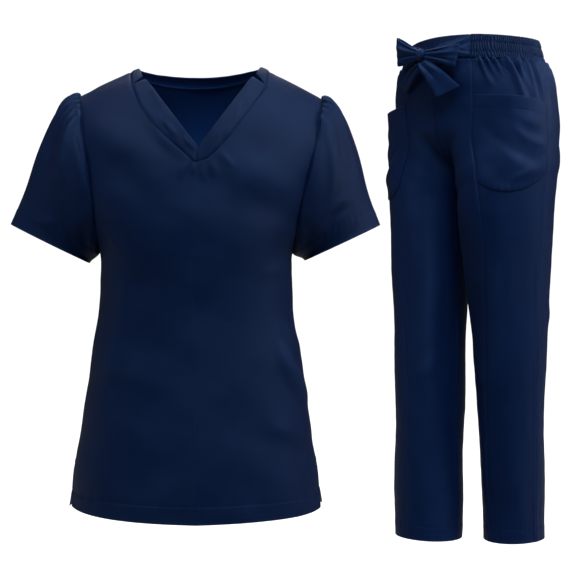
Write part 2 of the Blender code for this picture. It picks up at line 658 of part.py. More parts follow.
def trouser_panel(name, side, first, last, columns, folds, collection, parent, edges):
    """A panel between two seams, with folds that fan down from the elastic in its outer points."""
    surface = trouser_surface(side)
    z = panel_heights()
    share_from, share_to = first(z), last(z)
    across = np.linspace(0, 1, columns + 1)
    share = share_from[:, None] + (share_to - share_from)[:, None] * across
    height = np.repeat(z[:, None], columns + 1, axis=1)
    points, outward = surface(share, height), normals_of(surface, share, height)
    sign = 1 if side == "left" else -1
    outward *= sign * np.sign(outward[1, columns // 2, 0] or 1.0)
    if np.sum(outward[1, columns // 2] * (points[1, columns // 2] * (1, 1, 0))) < 0:
        outward *= -1
    rise = np.zeros_like(height)
    if folds:
        fade = ramp(height, FOLD_END, FOLD_FULL)
        gathered = FOLD_START + (1 - FOLD_START) * ramp(height, -BAND_HEIGHT, FOLD_GROWN)
        rise = FOLD_RISE * fade * gathered * (np.arange(columns + 1) % 2)[None]
    outer = drawn_in(points + outward * rise[..., None], edges)
    inner = drawn_in(points - outward * PANEL_CLOTH, edges)
    cloth_wall(name, [outer], [inner], collection, parent)
    return points + outward * rise[..., None]


def make_trouser_panels(collection, parent):
    """The three panels of each leg. It returns the outer points of the side panels."""
    edges = ("first_col", "last_col")
    side_points = {}
    for side in ("left", "right"):
        trouser_panel("trousers_front_" + side, side, lambda z: 0 * z, princess_share, FRONT_PANEL_COLUMNS, 0,
                      collection, parent, edges)
        side_points[side] = trouser_panel(
            "trousers_side_" + side, side, princess_share, lambda z: 0 * z + 0.5,
            2 * HIP_FOLDS["side"], HIP_FOLDS["side"], collection, parent, edges)
        trouser_panel("trousers_back_" + side, side, lambda z: 0 * z + 0.5, lambda z: 0 * z + 1.0,
                      2 * HIP_FOLDS["back"], HIP_FOLDS["back"], collection, parent, edges)
    return side_points


def waist_point(share, z, rise):
    """A point round the waist: share runs from 0 in front to 1 behind on the left, and below
    zero, or past one, on the right."""
    wrapped = np.mod(share + 1, 2) - 1
    points = np.where((wrapped >= 0)[..., None], trouser_surface("left")(np.abs(wrapped), z),
                      trouser_surface("right")(np.abs(wrapped), z))
    outward = unit(points * (WAIST_HALF_WIDTH**-2, WAIST_HALF_DEPTH**-2, 0))
    return points + outward * rise[..., None]


def make_waistband_front(collection, parent):
    z = np.linspace(0, -BAND_HEIGHT + SEAM_GAP, FRONT_BAND_ROWS + 1)
    share = np.linspace(-BAND_SEAM_SHARE, BAND_SEAM_SHARE, 2 * FRONT_BAND_STEPS + 1)
    share, height = np.meshgrid(share, z)
    rises = (BAND_RISE, BAND_RISE - BAND_CLOTH)
    outer, inner = (
        drawn_in(waist_point(share, height, np.full_like(share, k)), ("first_col", "last_col")) for k in rises
    )
    cloth_wall("waistband_front", [outer], [inner], collection, parent)


def make_waistband_back(collection, parent):
    """The elastic: ruches stand out of its outer face, over a plain inside with few columns."""
    every = BAND_INSIDE_STEP
    columns = 2 * RUCHES
    share = np.linspace(BAND_SEAM_SHARE, 2 - BAND_SEAM_SHARE, columns + 1)
    heights = np.array([row[0] for row in BAND_ROWS])
    strength = np.array([row[1] for row in BAND_ROWS])
    heights[-1] += SEAM_GAP
    share, height = np.meshgrid(share, heights)
    raised = (np.arange(columns + 1) % 2) * strength[:, None]
    outer = drawn_in(waist_point(share, height, BAND_RISE + RUCHE_RISE * raised), ("first_col", "last_col"))
    plain = waist_point(share, height, np.full_like(share, BAND_RISE - BAND_CLOTH))
    inner = drawn_in(plain, ("first_col", "last_col"))[:, ::every]
    rows, wide, narrow = len(heights), columns + 1, columns // every + 1
    start = rows * wide
    faces = [face[::-1] for face in grid_faces(rows, wide, False)]
    faces += grid_faces(rows, narrow, False, start)
    for row, turned in ((0, False), (rows - 1, True)):
        for k in range(narrow - 1):
            outside = [row * wide + k * every + j for j in range(every + 1)]
            inside = [start + row * narrow + k + 1, start + row * narrow + k]
            faces.append(tuple(outside + inside)[:: -1 if turned else 1])
    for col, turned in ((0, False), (1, True)):
        for row in range(rows - 1):
            a, b = row * wide + col * (wide - 1), (row + 1) * wide + col * (wide - 1)
            c, d = start + (row + 1) * narrow + col * (narrow - 1), start + row * narrow + col * (narrow - 1)
            faces.append((b, a, d, c) if not turned else (a, b, c, d))
    points = np.concatenate([outer.reshape(-1, 3), inner.reshape(-1, 3)])
    add_object("waistband_back", points, facing_out(points, faces), collection, parent)


def between(grid, rows, cols):
    """Points of a grid at fractional rows and columns."""
    r = np.clip(np.floor(rows).astype(int), 0, grid.shape[0] - 2)
    c = np.clip(np.floor(cols).astype(int), 0, grid.shape[1] - 2)
    up, across = (rows - r)[..., None], (cols - c)[..., None]
    low = grid[r, c] * (1 - across) + grid[r, c + 1] * across
    high = grid[r + 1, c] * (1 - across) + grid[r + 1, c + 1] * across
    return low * (1 - up) + high * up


def make_pockets(collection, parent, side_points):
    """Patch pockets, made from the side panel's own points moved out, and standing away at the mouth."""
    heights = panel_heights()
    for side, panel in side_points.items():
        last = panel.shape[1] - 1
        cols = np.concatenate([[POCKET_INSET], np.arange(1, last), [last - POCKET_INSET]])
        across, down = np.meshgrid(cols / last, np.linspace(0, 1, POCKET_ROWS + 1))
        top = POCKET_FRONT_TOP + (POCKET_SIDE_TOP - POCKET_FRONT_TOP) * across
        foot = POCKET_FOOT - POCKET_SAG * np.sin(pi * across) ** POCKET_ROUND
        height = top + (foot - top) * down
        row = np.interp(-height, -heights, np.arange(len(heights)))
        points = between(panel, row, across * last)
        outward = grid_normals(points, False)
        outward *= np.sign(np.sum(outward[4, 4] * points[4, 4] * (1, 1, 0)))
        stand = POCKET_STAND * np.sin(pi * across) ** POCKET_BELLY * (1 - down) ** POCKET_FADE
        clear = POCKET_CLEAR + stand
        outer = points + outward * (clear + PANEL_CLOTH)[..., None]
        inner = points + outward * clear[..., None]
        cloth_wall("pocket_" + side, [outer], [inner], collection, parent)


def ribbon(name, route, widths, turned, collection, parent, thickness=BAND_CLOTH):
    """A flat tie: its middle follows a route, its width runs along the turned vectors."""
    route, turned = np.array(route, float), unit(np.array(turned, float))
    across = np.linspace(-1, 1, TIE_COLUMNS + 1)[None, :, None]
    middle = route[:, None] + across * np.array(widths)[:, None, None] * turned[:, None]
    outward = grid_normals(middle, False)
    cloth_wall(name, [middle + outward * thickness / 2], [middle - outward * thickness / 2],
               collection, parent)


def make_strap(side, sign, collection, parent):
    """A strap that lies on the waistband from the side-front seam, and lifts off it to the knot."""
    steps = len(STRAP_RISES)
    shares = BAND_SEAM_SHARE * (1 - np.arange(steps) / FRONT_BAND_STEPS)
    shares[0] -= STRAP_INSET
    across = np.linspace(-1, 1, TIE_COLUMNS + 1)
    halves = np.linspace(STRAP_HALF, STRAP_END_HALF, steps + len(STRAP_END))
    middle = -BAND_HEIGHT / 2 - np.linspace(0, STRAP_DROP, steps)
    height = middle[:, None] + across * halves[:steps, None]
    share = np.repeat(shares[:, None], TIE_COLUMNS + 1, axis=1)
    rise = np.repeat(np.array(STRAP_RISES)[:, None], TIE_COLUMNS + 1, axis=1)
    on_band = waist_point(sign * share, height, rise)
    lifted = (np.array(STRAP_END) * (sign, 1, 1))[:, None] + across[None, :, None] * (
        halves[steps:, None, None] * np.array((0, 0, 1)))
    grid = np.concatenate([on_band, lifted])
    outward = grid_normals(grid, False)
    cloth_wall("tie_" + side, [grid + outward * BAND_CLOTH / 2], [grid - outward * BAND_CLOTH / 2],
               collection, parent)


def make_loop(side, sign, collection, parent):
    """A loop of the bow: it runs out from the knot in front, round its tip and back behind."""
    t = np.linspace(0, 1, LOOP_STEPS + 1)[:, None]
    knot, tip = np.array(KNOT_AT), np.array(LOOP_TIP[side])
    way = unit(tip - knot)
    reach = LOOP_ROOT + (np.linalg.norm(tip - knot) - LOOP_ROOT) * np.sin(pi * t) ** LOOP_FULLNESS
    forward = unit(np.cross(way, (0, 0, 1))) * sign
    opened = np.cos(pi * t) * (LOOP_ROOT_OPEN + LOOP_OPEN * np.sin(pi * t))
    route = knot + way * reach + forward * opened
    widths = LOOP_ROOT_HALF + (LOOP_HALF[side] - LOOP_ROOT_HALF) * np.sin(pi * t[:, 0])
    ribbon("bow_loop_" + side, route, widths, np.tile((0, 0, 1), (len(route), 1)), collection, parent)


def make_tie(collection, parent):
    knot = np.array(KNOT_AT)
    bpy.ops.mesh.primitive_uv_sphere_add(segments=KNOT_SEGMENTS, ring_count=KNOT_RINGS, radius=1)
    ball = bpy.context.object
    ball.name = ball.data.name = "bow_knot"
    ball.data.transform(Matrix.Diagonal((*KNOT_HALF, 1)))
    ball.data.shade_smooth()
    ball.data.materials.append(material("bow_knot_cloth"))
    for old in list(ball.users_collection):
        old.objects.unlink(ball)
    collection.objects.link(ball)
    ball.parent = parent
    ball.location = knot
    for side, sign in (("left", 1), ("right", -1)):
        make_strap(side, sign, collection, parent)
        make_loop(side, sign, collection, parent)
        tail = np.array(TAILS[side])
        ribbon("bow_tail_" + side, tail[:, :3], tail[:, 3], np.tile(TAIL_WIDTH_ALONG[side], (len(tail), 1)),
               collection, parent)


def main():
    clear_scene()
    collection = bpy.data.collections.new("medical_scrubs")
    bpy.context.scene.collection.children.link(collection)
    trousers = bpy.data.objects.new("trousers_place", None)
    trousers.location = TROUSERS_AT
    trousers.rotation_euler = (0, 0, TROUSERS_TURN)
    collection.objects.link(trousers)
    make_top_front(collection)
    make_top_back(collection)
    make_neck_bands(collection)
    make_sleeves(collection)
    side_points = make_trouser_panels(collection, trousers)
    make_waistband_front(collection, trousers)
    make_waistband_back(collection, trousers)
    make_pockets(collection, trousers, side_points)
    make_tie(collection, trousers)
    bpy.context.view_layer.update()


main()
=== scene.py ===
# Medical scrubs: the cloth, seams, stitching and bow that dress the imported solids, with floor, light and camera.
# Metres, +Z up. The top faces -Y; "left" and "right" are the wearer's. Trouser pieces are worked out standing
# straight at their own waist, then put in their place beside the top.
import bpy
import numpy as np
from math import cos, pi, radians, sin
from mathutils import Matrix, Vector


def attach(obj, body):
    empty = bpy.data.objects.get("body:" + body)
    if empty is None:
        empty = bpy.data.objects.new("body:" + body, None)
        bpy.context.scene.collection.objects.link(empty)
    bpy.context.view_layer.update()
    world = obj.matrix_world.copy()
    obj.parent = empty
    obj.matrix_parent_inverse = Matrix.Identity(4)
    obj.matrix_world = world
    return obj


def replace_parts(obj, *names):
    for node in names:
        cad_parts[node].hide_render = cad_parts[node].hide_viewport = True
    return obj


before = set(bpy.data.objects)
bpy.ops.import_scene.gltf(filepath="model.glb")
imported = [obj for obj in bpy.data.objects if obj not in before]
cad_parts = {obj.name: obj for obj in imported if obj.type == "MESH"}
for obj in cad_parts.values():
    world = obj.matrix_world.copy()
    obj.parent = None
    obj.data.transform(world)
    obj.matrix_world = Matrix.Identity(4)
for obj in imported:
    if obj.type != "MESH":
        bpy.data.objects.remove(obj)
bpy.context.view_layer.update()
print("solids loaded:", len(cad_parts))
sides = ("left", "right")
signOf = {"left": 1, "right": -1}
mm = 0.001


# A table written in thousandths, of a metre or of a share.
def milli(rows):
    return np.array(rows) / 1000


# A new object in the scene, which holds the given mesh, light or camera.
def addObject(name, data):
    made = bpy.data.objects.new(name, data)
    bpy.context.scene.collection.objects.link(made)
    return made


# Curves and grids.
# A cubic from start to end over t from 0 to 1, with given slopes at both.
def cubic(t, start, end, startSlope, endSlope):
    return ((2 * t**3 - 3 * t**2 + 1) * start + (t**3 - 2 * t**2 + t) * startSlope
            + (3 * t**2 - 2 * t**3) * end + (t**3 - t**2) * endSlope)


# A smooth curve through one column of a table, read at any height: a cubic between rows, with slopes from neighbours.
def readColumn(table, name, at):
    rows = table["rows"]
    heights, values = rows[:, 0], rows[:, table["columns"].index(name)]
    slopes = np.gradient(values, heights)
    at = np.clip(np.asarray(at, float), heights[0], heights[-1])
    i = np.clip(np.searchsorted(heights, at) - 1, 0, len(heights) - 2)
    step = heights[i + 1] - heights[i]
    return cubic((at - heights[i]) / step, values[i], values[i + 1], step * slopes[i], step * slopes[i + 1])


# Goes smoothly from 0 at start to 1 at end: 3t^2 - 2t^3.
def ramp(value, start, end):
    t = np.clip((value - start) / (end - start), 0, 1)
    return t * t * (3 - 2 * t)


# A bump of height 1 at zero that fades to nothing past its half width: exp(-(d / half)^2).
def bump(distance, half):
    return np.exp(-((distance / half) ** 2))


# Vectors of length 1.
def unit(vectors):
    return vectors / np.maximum(np.linalg.norm(vectors, axis=-1, keepdims=True), 1e-12)


# The length travelled along a line at each of its points, and the points at given lengths.
def lengthAlong(line):
    return np.concatenate([[0], np.cumsum(np.linalg.norm(np.diff(line, axis=0), axis=1))])


def pointsAt(lengths, reach, line):
    return np.stack([np.interp(lengths, reach, column) for column in line.T], -1)


# Points that cut the length of a route through a few points into a count of equal parts.
def alongRoute(points, count):
    points = np.array(points, float)
    reach = lengthAlong(points)
    return pointsAt(np.linspace(0, 1, count + 1), reach / reach[-1], points)


# Fills a four-sided patch from its edges: the two ruled surfaces added, less the bilinear one through the corners.
def patchBetween(bottom, top, left, right):
    u = np.linspace(0, 1, len(bottom))[None, :, None]
    v = np.linspace(0, 1, len(left))[:, None, None]
    ruled = (1 - v) * bottom[None] + v * top[None] + (1 - u) * left[:, None] + u * right[:, None]
    return ruled - ((1 - u) * (1 - v) * bottom[0] + u * (1 - v) * bottom[-1] + (1 - u) * v * top[0] + u * v * top[-1])


# Steps 0 to count, with more of them close on both sides of each marked step.
def fineSteps(count, marks):
    near = np.array((-0.62, -0.36, -0.16, 0, 0.16, 0.36, 0.62))
    steps = np.concatenate([np.arange(count + 1.0)] + [mark + near for mark in marks])
    return np.unique(np.round(np.clip(steps, 0, count), 3))


# The same from 0 to 1, finer at both ends and at any marked step.
def fineShares(count, *marks):
    return fineSteps(count, (0, *marks, count)) / count


# A grid read at fine steps, each point mixed from the four around it.
def refined(grid, rowMarks, colMarks):
    rows, cols = fineSteps(len(grid) - 1, rowMarks), fineSteps(grid.shape[1] - 1, colMarks)
    r, c = (np.minimum(k.astype(int), size - 2) for k, size in zip((rows, cols), grid.shape))
    v, u = (rows - r)[:, None, None], (cols - c)[None, :, None]
    left, right = (grid[r][:, k] * (1 - v) + grid[r + 1][:, k] * v for k in (c, c + 1))
    return left * (1 - u) + right * u


# Normals of a grid: the cross product of its two directions, turned so that most point away from a middle.
def normalsFrom(grid, middle, closed=False):
    alongRows = np.gradient(grid, axis=0, edge_order=2)
    if closed:
        alongCols = np.roll(grid, -1, axis=1) - np.roll(grid, 1, axis=1)
    else:
        alongCols = np.gradient(grid, axis=1, edge_order=2)
    normals = unit(np.cross(alongCols, alongRows))
    return normals * np.sign((normals * (grid - middle)).sum(-1).mean() or 1.0)


# Distances of every point of a grid from some of its edges, measured straight along its row or column.
edgeOf = {"firstRow": np.s_[:1], "lastRow": np.s_[-1:], "firstCol": np.s_[:, :1], "lastCol": np.s_[:, -1:]}


def fromEdges(grid, *edges):
    return [np.linalg.norm(grid - grid[edgeOf[edge]], axis=2) for edge in edges]


# A line at one distance from an edge of a grid, in the grid's own surface, with the normals along it.
def lineBeside(grid, normals, edge, distance):
    points, grown = (k if edge.endswith("Row") else k.swapaxes(0, 1) for k in (grid, normals))
    if edge.startswith("last"):
        points, grown = points[::-1], grown[::-1]
    reach = np.cumsum(np.linalg.norm(np.diff(points, axis=0, prepend=points[:1]), axis=2), axis=0)
    above, cols = np.clip((reach < distance).sum(0), 1, len(points) - 1), np.arange(points.shape[1])
    t = ((distance - reach[above - 1, cols]) / np.maximum(reach[above, cols] - reach[above - 1, cols], 1e-9))[:, None]
    return [k[above - 1, cols] * (1 - t) + k[above, cols] * t for k in (points, grown)]


# Lengths over a grid in metres: u grows along each row, v down the columns. They carry the weave. Both start from
# the given column, or else u starts halfway along each row and v is the mean of the columns.
def flatSizes(grid, fromColumn=None):
    u = np.cumsum(np.linalg.norm(np.diff(grid, axis=1, prepend=grid[:, :1]), axis=2), axis=1)
    v = np.cumsum(np.linalg.norm(np.diff(grid, axis=0, prepend=grid[:1]), axis=2), axis=0)
    if fromColumn is None:
        u, v = u - u[:, -1:] / 2, v.mean(1)
    else:
        u, v = u - u[:, [fromColumn]], v[:, fromColumn]
    return np.stack([u, np.broadcast_to(v[:, None], u.shape)], -1)


# Pieces of cloth and rows of stitches.
# A mesh of quads with its weave's coordinates, riding on the part's one body.
def addMesh(name, points, quads, uvs, material, wearAndPaintedLight=None, reverseAndPaintedLight=None):
    mesh = bpy.data.meshes.new(name)
    mesh.from_pydata(points.tolist(), [], quads.tolist())
    mesh.uv_layers.new(name="weave").data.foreach_set("uv", np.ascontiguousarray(uvs, dtype=np.float32).ravel())
    # The edge attribute is the share of paler colour, for abraded edges and for painted light on crests and the tie;
    # the other is 1 on inner faces, whose paler blue is partly painted light.
    for kind, values in (("edge", wearAndPaintedLight), ("reverseAndPaintedLight", reverseAndPaintedLight)):
        if values is not None:
            mesh.attributes.new(kind, "FLOAT", "POINT").data.foreach_set("value", values.astype(np.float32))
    mesh.shade_smooth()
    mesh.materials.append(material)
    piece = addObject(name, mesh)
    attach(piece, "root")
    return piece


rimRound = 0.45  # how far an edge is rounded out, as a share of the thickness


# A thin closed wall over grids of outer points. Points that coincide are sewn; the inner face lies one thickness
# in along the normals, and every open edge is closed by two strips over a rounded rim.
def clothShell(name, cloth, thick, grids, normals, wearAndPaintedLight, closed=False, fromColumn=None):
    corners = (np.s_[:-1, :-1], np.s_[:-1, 1:], np.s_[1:, 1:], np.s_[1:, :-1])
    quads, uvs, start = [], [], 0
    outer, grown = (np.concatenate([k.reshape(-1, 3) for k in part]) for part in (grids, normals))
    for grid in grids:
        index = start + np.arange(grid[..., 0].size).reshape(grid.shape[:2])
        start += index.size
        if closed:
            index, grid = (np.concatenate([k, k[:, :1]], axis=1) for k in (index, grid))
        flat = flatSizes(grid, fromColumn)
        quads.append(np.stack([index[c] for c in corners], -1).reshape(-1, 4))
        uvs.append(np.stack([flat[c] for c in corners], -2).reshape(-1, 4, 2))
    quads, uvs, worn = np.concatenate(quads), np.concatenate(uvs), np.concatenate([k.ravel() for k in wearAndPaintedLight])
    _, first, same = np.unique(np.round(outer, 6), axis=0, return_index=True, return_inverse=True)
    same, summed = same.ravel(), np.zeros((len(first), 3))
    np.add.at(summed, same, grown)
    outer, worn, normal, quads = outer[first], worn[first], unit(summed), same[quads]
    faceNormals = np.cross(outer[quads[:, 2]] - outer[quads[:, 0]], outer[quads[:, 3]] - outer[quads[:, 1]])
    if (faceNormals * normal[quads[:, 0]]).sum() < 0:
        quads, uvs = quads[:, ::-1], uvs[:, ::-1]
    size = len(outer)
    # An edge is open where no neighbour runs along it the other way.
    edges = np.stack([quads, np.roll(quads, -1, axis=1)], -1).reshape(-1, 2)
    a, b = edges[~np.isin(edges @ (size, 1), edges @ (1, size))].T
    lean, sideways = np.zeros_like(outer), unit(np.cross(outer[b] - outer[a], normal[a]))
    for ends in (a, b):
        np.add.at(lean, ends, sideways)
    rim, inner = np.unique(a), outer - normal * thick
    middle = (outer[rim] + inner[rim]) / 2 + unit(lean[rim]) * thick * rimRound
    at = np.zeros(size, int)
    at[rim] = 2 * size + np.arange(len(rim))
    cornerUv = np.zeros((size, 2))
    cornerUv[quads.ravel()] = uvs.reshape(-1, 2)
    strips = [np.stack(k, -1) for k in ((b, a, at[a], at[b]), (at[b], at[a], a + size, b + size))]
    stripUv = np.stack([cornerUv[b], cornerUv[a], cornerUv[a], cornerUv[b]], 1)
    return addMesh(name, np.concatenate([outer, inner, middle]),
                   np.concatenate([quads, quads[:, ::-1] + size] + strips),
                   np.concatenate([uvs, uvs[:, ::-1], stripUv, stripUv]), finish[cloth],
                   np.concatenate([worn, worn, worn[rim]]), np.repeat((0.0, 1.0, 0.0), (size, size, len(rim))))


stitchLook = {"pitch": 0.0031, "length": 0.0024, "half": 0.00026, "lift": 0.00012, "thread": 0.002,
              "stations": ((-0.5, 0.45), (0, 1.1), (0.5, 0.45))}


# Rows of thread: one small closed prism, thinner at its ends, carried to every stitch along each line.
def stitchRows(name, lines):
    look, ring = stitchLook, np.arange(4)
    around = np.array([(1, 0), (0, 1), (-1, 0), (0, -1)]) * look["half"]
    walls = [np.stack([ring, (ring + 1) % 4, (ring + 1) % 4 + 4, ring + 4], -1) + 4 * s for s in range(2)]
    shape = np.concatenate(walls + [[ring[::-1]], [8 + ring]])
    points, quads, count = [], [], 0
    for line, normals in lines:
        reach = lengthAlong(line)
        number = max(int(reach[-1] / look["pitch"]), 2)
        at = (np.arange(number) + 0.5) / number * reach[-1]
        up = unit(pointsAt(at, reach, normals))
        way = unit(pointsAt(at + mm, reach, line) - pointsAt(at - mm, reach, line))
        across, centre = unit(np.cross(way, up)), pointsAt(at, reach, line) + up * look["lift"]
        rings = [centre[:, None] + way[:, None] * along * look["length"]
                 + (across[:, None] * around[None, :, :1] + up[:, None] * around[None, :, 1:]) * grow
                 for along, grow in look["stations"]]
        points.append(np.concatenate(rings, axis=1).reshape(-1, 3))
        quads.append((shape[None] + count + 12 * np.arange(number)[:, None, None]).reshape(-1, 4))
        count += 12 * number
    points, quads = np.concatenate(points), np.concatenate(quads)
    a, b, c, d = (points[quads[:8, k]] for k in range(4))
    if (np.cross(c - a, d - b) * ((a + c) / 2 - points[:12].mean(0))).sum() < 0:
        quads = quads[:, ::-1]
    uvs = np.tile(np.array([(0, 0), (1, 0), (1, 1), (0, 1)]) * look["thread"], (len(quads), 1))
    addMesh(name, points, quads, uvs, thread)


# A cut piece: its cloth in place of its solid, and its stitches, on given lines or beside its edges. "turned" puts
# the piece in the trousers' place.
def makePiece(name, node, cloth, thick, grids, normals, wearAndPaintedLight, lines=(), beside=(), turned=False, **shell):
    lines = list(lines) + [lineBeside(grids[0], normals[0], edge, gap) for edge, gap in beside]
    if turned:
        grids, normals = [toPlace(k) for k in grids], [turnOnly(k) for k in normals]
        lines = [(toPlace(line), turnOnly(up)) for line, up in lines]
    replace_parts(clothShell(name, cloth, thick, grids, normals, wearAndPaintedLight, **shell), node)
    if lines:
        stitchRows(name + "Stitches", lines)


trouserPlace = {"at": (0.507, 0.370, 0.126), "turn": radians(-52.9)}


# The turn into the trousers' place, about the upright axis, and the whole move.
def turnOnly(vectors):
    turn, (x, y, z) = trouserPlace["turn"], np.moveaxis(vectors, -1, 0)
    return np.stack([x * cos(turn) - y * sin(turn), x * sin(turn) + y * cos(turn), z], -1)


def toPlace(points):
    return turnOnly(points) + np.array(trouserPlace["at"])


# Folds, seams and hems, all as heights along the cloth's normal.
foldLook = {"fade": 1.3, "startWidth": 0.7, "widening": 0.6}


# Soft ridges (height above zero) and troughs (below): each runs from one point to another in a bow, and its cross
# section is exp(-(d / half)^2), fading at both ends as a half sine.
def foldHeights(folds, u, v):
    total = np.zeros(np.broadcast(u, v).shape)
    for fromU, fromV, toU, toV, bow, half, height in folds:
        length = np.hypot(toU - fromU, toV - fromV)
        du, dv = (toU - fromU) / length, (toV - fromV) / length
        inside = np.clip(((u - fromU) * du + (v - fromV) * dv) / length, 0, 1)
        off = (u - fromU) * dv - (v - fromV) * du - bow * 4 * inside * (1 - inside)
        wide = half * (foldLook["startWidth"] + foldLook["widening"] * inside)
        total += height * np.sin(pi * inside) ** foldLook["fade"] * bump(off, wide)
    return total


unevenLook = {"waves": 8, "shortest": 0.7, "longest": 1.5, "share": 2.8}


# A gentle unevenness: eight plane waves of about one size in seeded directions, added up.
def uneven(u, v, size, height, seed):
    random, look = np.random.default_rng(seed), unevenLook
    total = np.zeros(np.broadcast(u, v).shape)
    for _ in range(look["waves"]):
        way, wave = random.uniform(0, pi), size * random.uniform(look["shortest"], look["longest"])
        shift = random.uniform(0, 2 * pi)
        total += np.sin(2 * pi * (u * cos(way) + v * sin(way)) / wave + shift)
    return total * height / look["share"]


seamLook = {"groove": 0.0011, "grooveHalf": 0.0017, "allowance": 0.009, "lift": 0.0004}
hemLook = {"depth": 0.025, "fold": 0.0004, "groove": 0.0003, "grooveHalf": 0.0016, "pucker": 0.00035,
           "puckerPitch": 0.014, "puckerHalf": 0.008, "wander": 1.7, "wanderTurns": 61}
# How pale abraded edges get, and the crests of folds, which are a painted highlight.
wornLook = {"edges": 0.35, "edgeHalf": 0.004, "crests": 0.9, "crestFrom": 0.001, "crestTo": 0.005, "noiseScale": 260.0}


# A seam: the cloth dives into it over a bump-shaped groove, and the turned-in cloth beside it lifts it a little.
def seamHeight(distance, strength=1.0):
    look = seamLook
    flat = ramp(distance, look["allowance"] - 2 * mm, look["allowance"])
    lift = look["lift"] * ramp(distance, mm, 3 * mm) * (1 - flat)
    return strength * (lift - look["groove"] * bump(distance, look["grooveHalf"]))


# A hem: the folded strip stands out by the cloth's turned thickness, with a groove and small puckers at its stitches.
def hemHeight(distance, across, depth=hemLook["depth"], strength=1.0):
    look = hemLook
    raised = look["fold"] * (1 - ramp(distance, depth - mm, depth + 1.5 * mm))
    wave = np.sin(2 * pi * across / look["puckerPitch"] + look["wander"] * np.sin(across * look["wanderTurns"]))
    puckers = look["pucker"] * wave * bump(distance - depth, look["puckerHalf"])
    return strength * (raised - look["groove"] * bump(distance - depth, look["grooveHalf"]) + puckers)


# Where the cloth is paler: within a centimetre of a seam or an edge, where it is abraded, and on the crests of high
# folds, as a painted highlight.
def edgeMask(*distances):
    return wornLook["edges"] * np.max([bump(k, wornLook["edgeHalf"]) for k in distances], axis=0)


def wornMask(height, *distances):
    # Fold crests made paler: a painted highlight.
    crests = wornLook["crests"] * ramp(height, wornLook["crestFrom"], wornLook["crestTo"])
    return np.maximum(edgeMask(*distances), crests)


# Cloth and thread finishes.
# Inputs of a node: a socket is linked, and a number or colour is set.
def setInputs(tree, node, inputs):
    for name, value in inputs.items():
        if isinstance(value, bpy.types.NodeSocket):
            tree.links.new(value, node.inputs[name])
        else:
            node.inputs[name].default_value = value


def addNode(tree, kind, inputs={}, **settings):
    node = tree.nodes.new("ShaderNode" + kind)
    for name, value in settings.items():
        setattr(node, name, value)
    setInputs(tree, node, inputs)
    return node


def mathNode(tree, kind, *values):
    return addNode(tree, "Math", dict(enumerate(values)), operation=kind).outputs[0]


# A share of the second colour mixed into the first.
def mixColours(tree, share, first, second):
    return addNode(tree, "Mix", {0: share, 6: first, 7: second}, data_type="RGBA").outputs[2]


def newMaterial(name):
    material = bpy.data.materials.new(name)
    material.use_nodes = True
    return material, material.node_tree, material.node_tree.nodes["Principled BSDF"]


# A node group with named inputs (a value, or None for a vector) and named outputs.
def newGroup(name, inputs, outputs):
    group = bpy.data.node_groups.new(name, "ShaderNodeTree")
    for title, value in inputs.items():
        kind = "NodeSocketVector" if value is None else "NodeSocketFloat"
        made = group.interface.new_socket(name=title, in_out="INPUT", socket_type=kind)
        if value is not None:
            made.default_value = value
    for title in outputs:
        group.interface.new_socket(name=title, in_out="OUTPUT", socket_type="NodeSocketFloat")
    return group, group.nodes.new("NodeGroupInput").outputs, group.nodes.new("NodeGroupOutput").inputs


twillLook = {"crossing": 1.7, "threads": 0.45, "relief": 0.3, "slubStretch": (1500, 180, 1), "patchScale": 24.0,
             "patchDetail": 4.0, "weaveShare": 0.22, "patchShare": 0.5}


# Twill: diagonal ribs, sin(2 pi (u + v) / pitch), over threads across them, with slubs of thicker yarn from noise.
def twillGroup():
    look = twillLook
    group, given, result = newGroup("twillWeave", {"Lengths": None, "Pitch": 0.0008, "Slubs": 0.35},
                                    ("Height", "Shade"))
    u, v = addNode(group, "SeparateXYZ", {0: given["Lengths"]}).outputs[:2]
    turns = mathNode(group, "DIVIDE", 2 * pi, given["Pitch"])
    ribs = mathNode(group, "SINE", mathNode(group, "MULTIPLY", mathNode(group, "ADD", u, v), turns))
    crossing = mathNode(group, "MULTIPLY", turns, look["crossing"])
    across = mathNode(group, "MULTIPLY", mathNode(group, "SUBTRACT", u, v), crossing)
    threads = mathNode(group, "MULTIPLY", mathNode(group, "SINE", across), look["threads"])
    stretch = addNode(group, "VectorMath", {0: given["Lengths"], 1: look["slubStretch"]}, operation="MULTIPLY")
    noise = addNode(group, "TexNoise", {"Vector": stretch.outputs[0], "Scale": 1.0}).outputs["Fac"]
    ridged = mathNode(group, "MULTIPLY", mathNode(group, "ADD", ribs, threads), look["relief"])
    woven = mathNode(group, "ADD", ridged, mathNode(group, "MULTIPLY", noise, given["Slubs"]))
    patches = addNode(group, "TexNoise", {"Vector": given["Lengths"], "Scale": look["patchScale"],
                                          "Detail": look["patchDetail"]})
    shade = mathNode(group, "ADD", mathNode(group, "MULTIPLY", woven, look["weaveShare"]),
                 mathNode(group, "MULTIPLY", patches.outputs["Fac"], look["patchShare"]))
    group.links.new(woven, result["Height"])
    group.links.new(shade, result["Shade"])
    return group


# Where cloth is folded at a seam or an edge it is abraded a little paler; fold crests, ruche tops and the tie are
# made paler as painted light. All of it is broken up by noise.
def paleWearAndPaintedLightGroup():
    group, given, result = newGroup("rubbedEdgesAndPaintedLight", {"Edge": 0.0, "Lengths": None, "Strength": 0.5}, ("Mask",))
    noise = addNode(group, "TexNoise", {"Vector": given["Lengths"], "Scale": wornLook["noiseScale"]}).outputs["Fac"]
    broken = mathNode(group, "MULTIPLY", given["Edge"], noise)
    group.links.new(mathNode(group, "MULTIPLY", broken, given["Strength"]), result["Mask"])
    return group


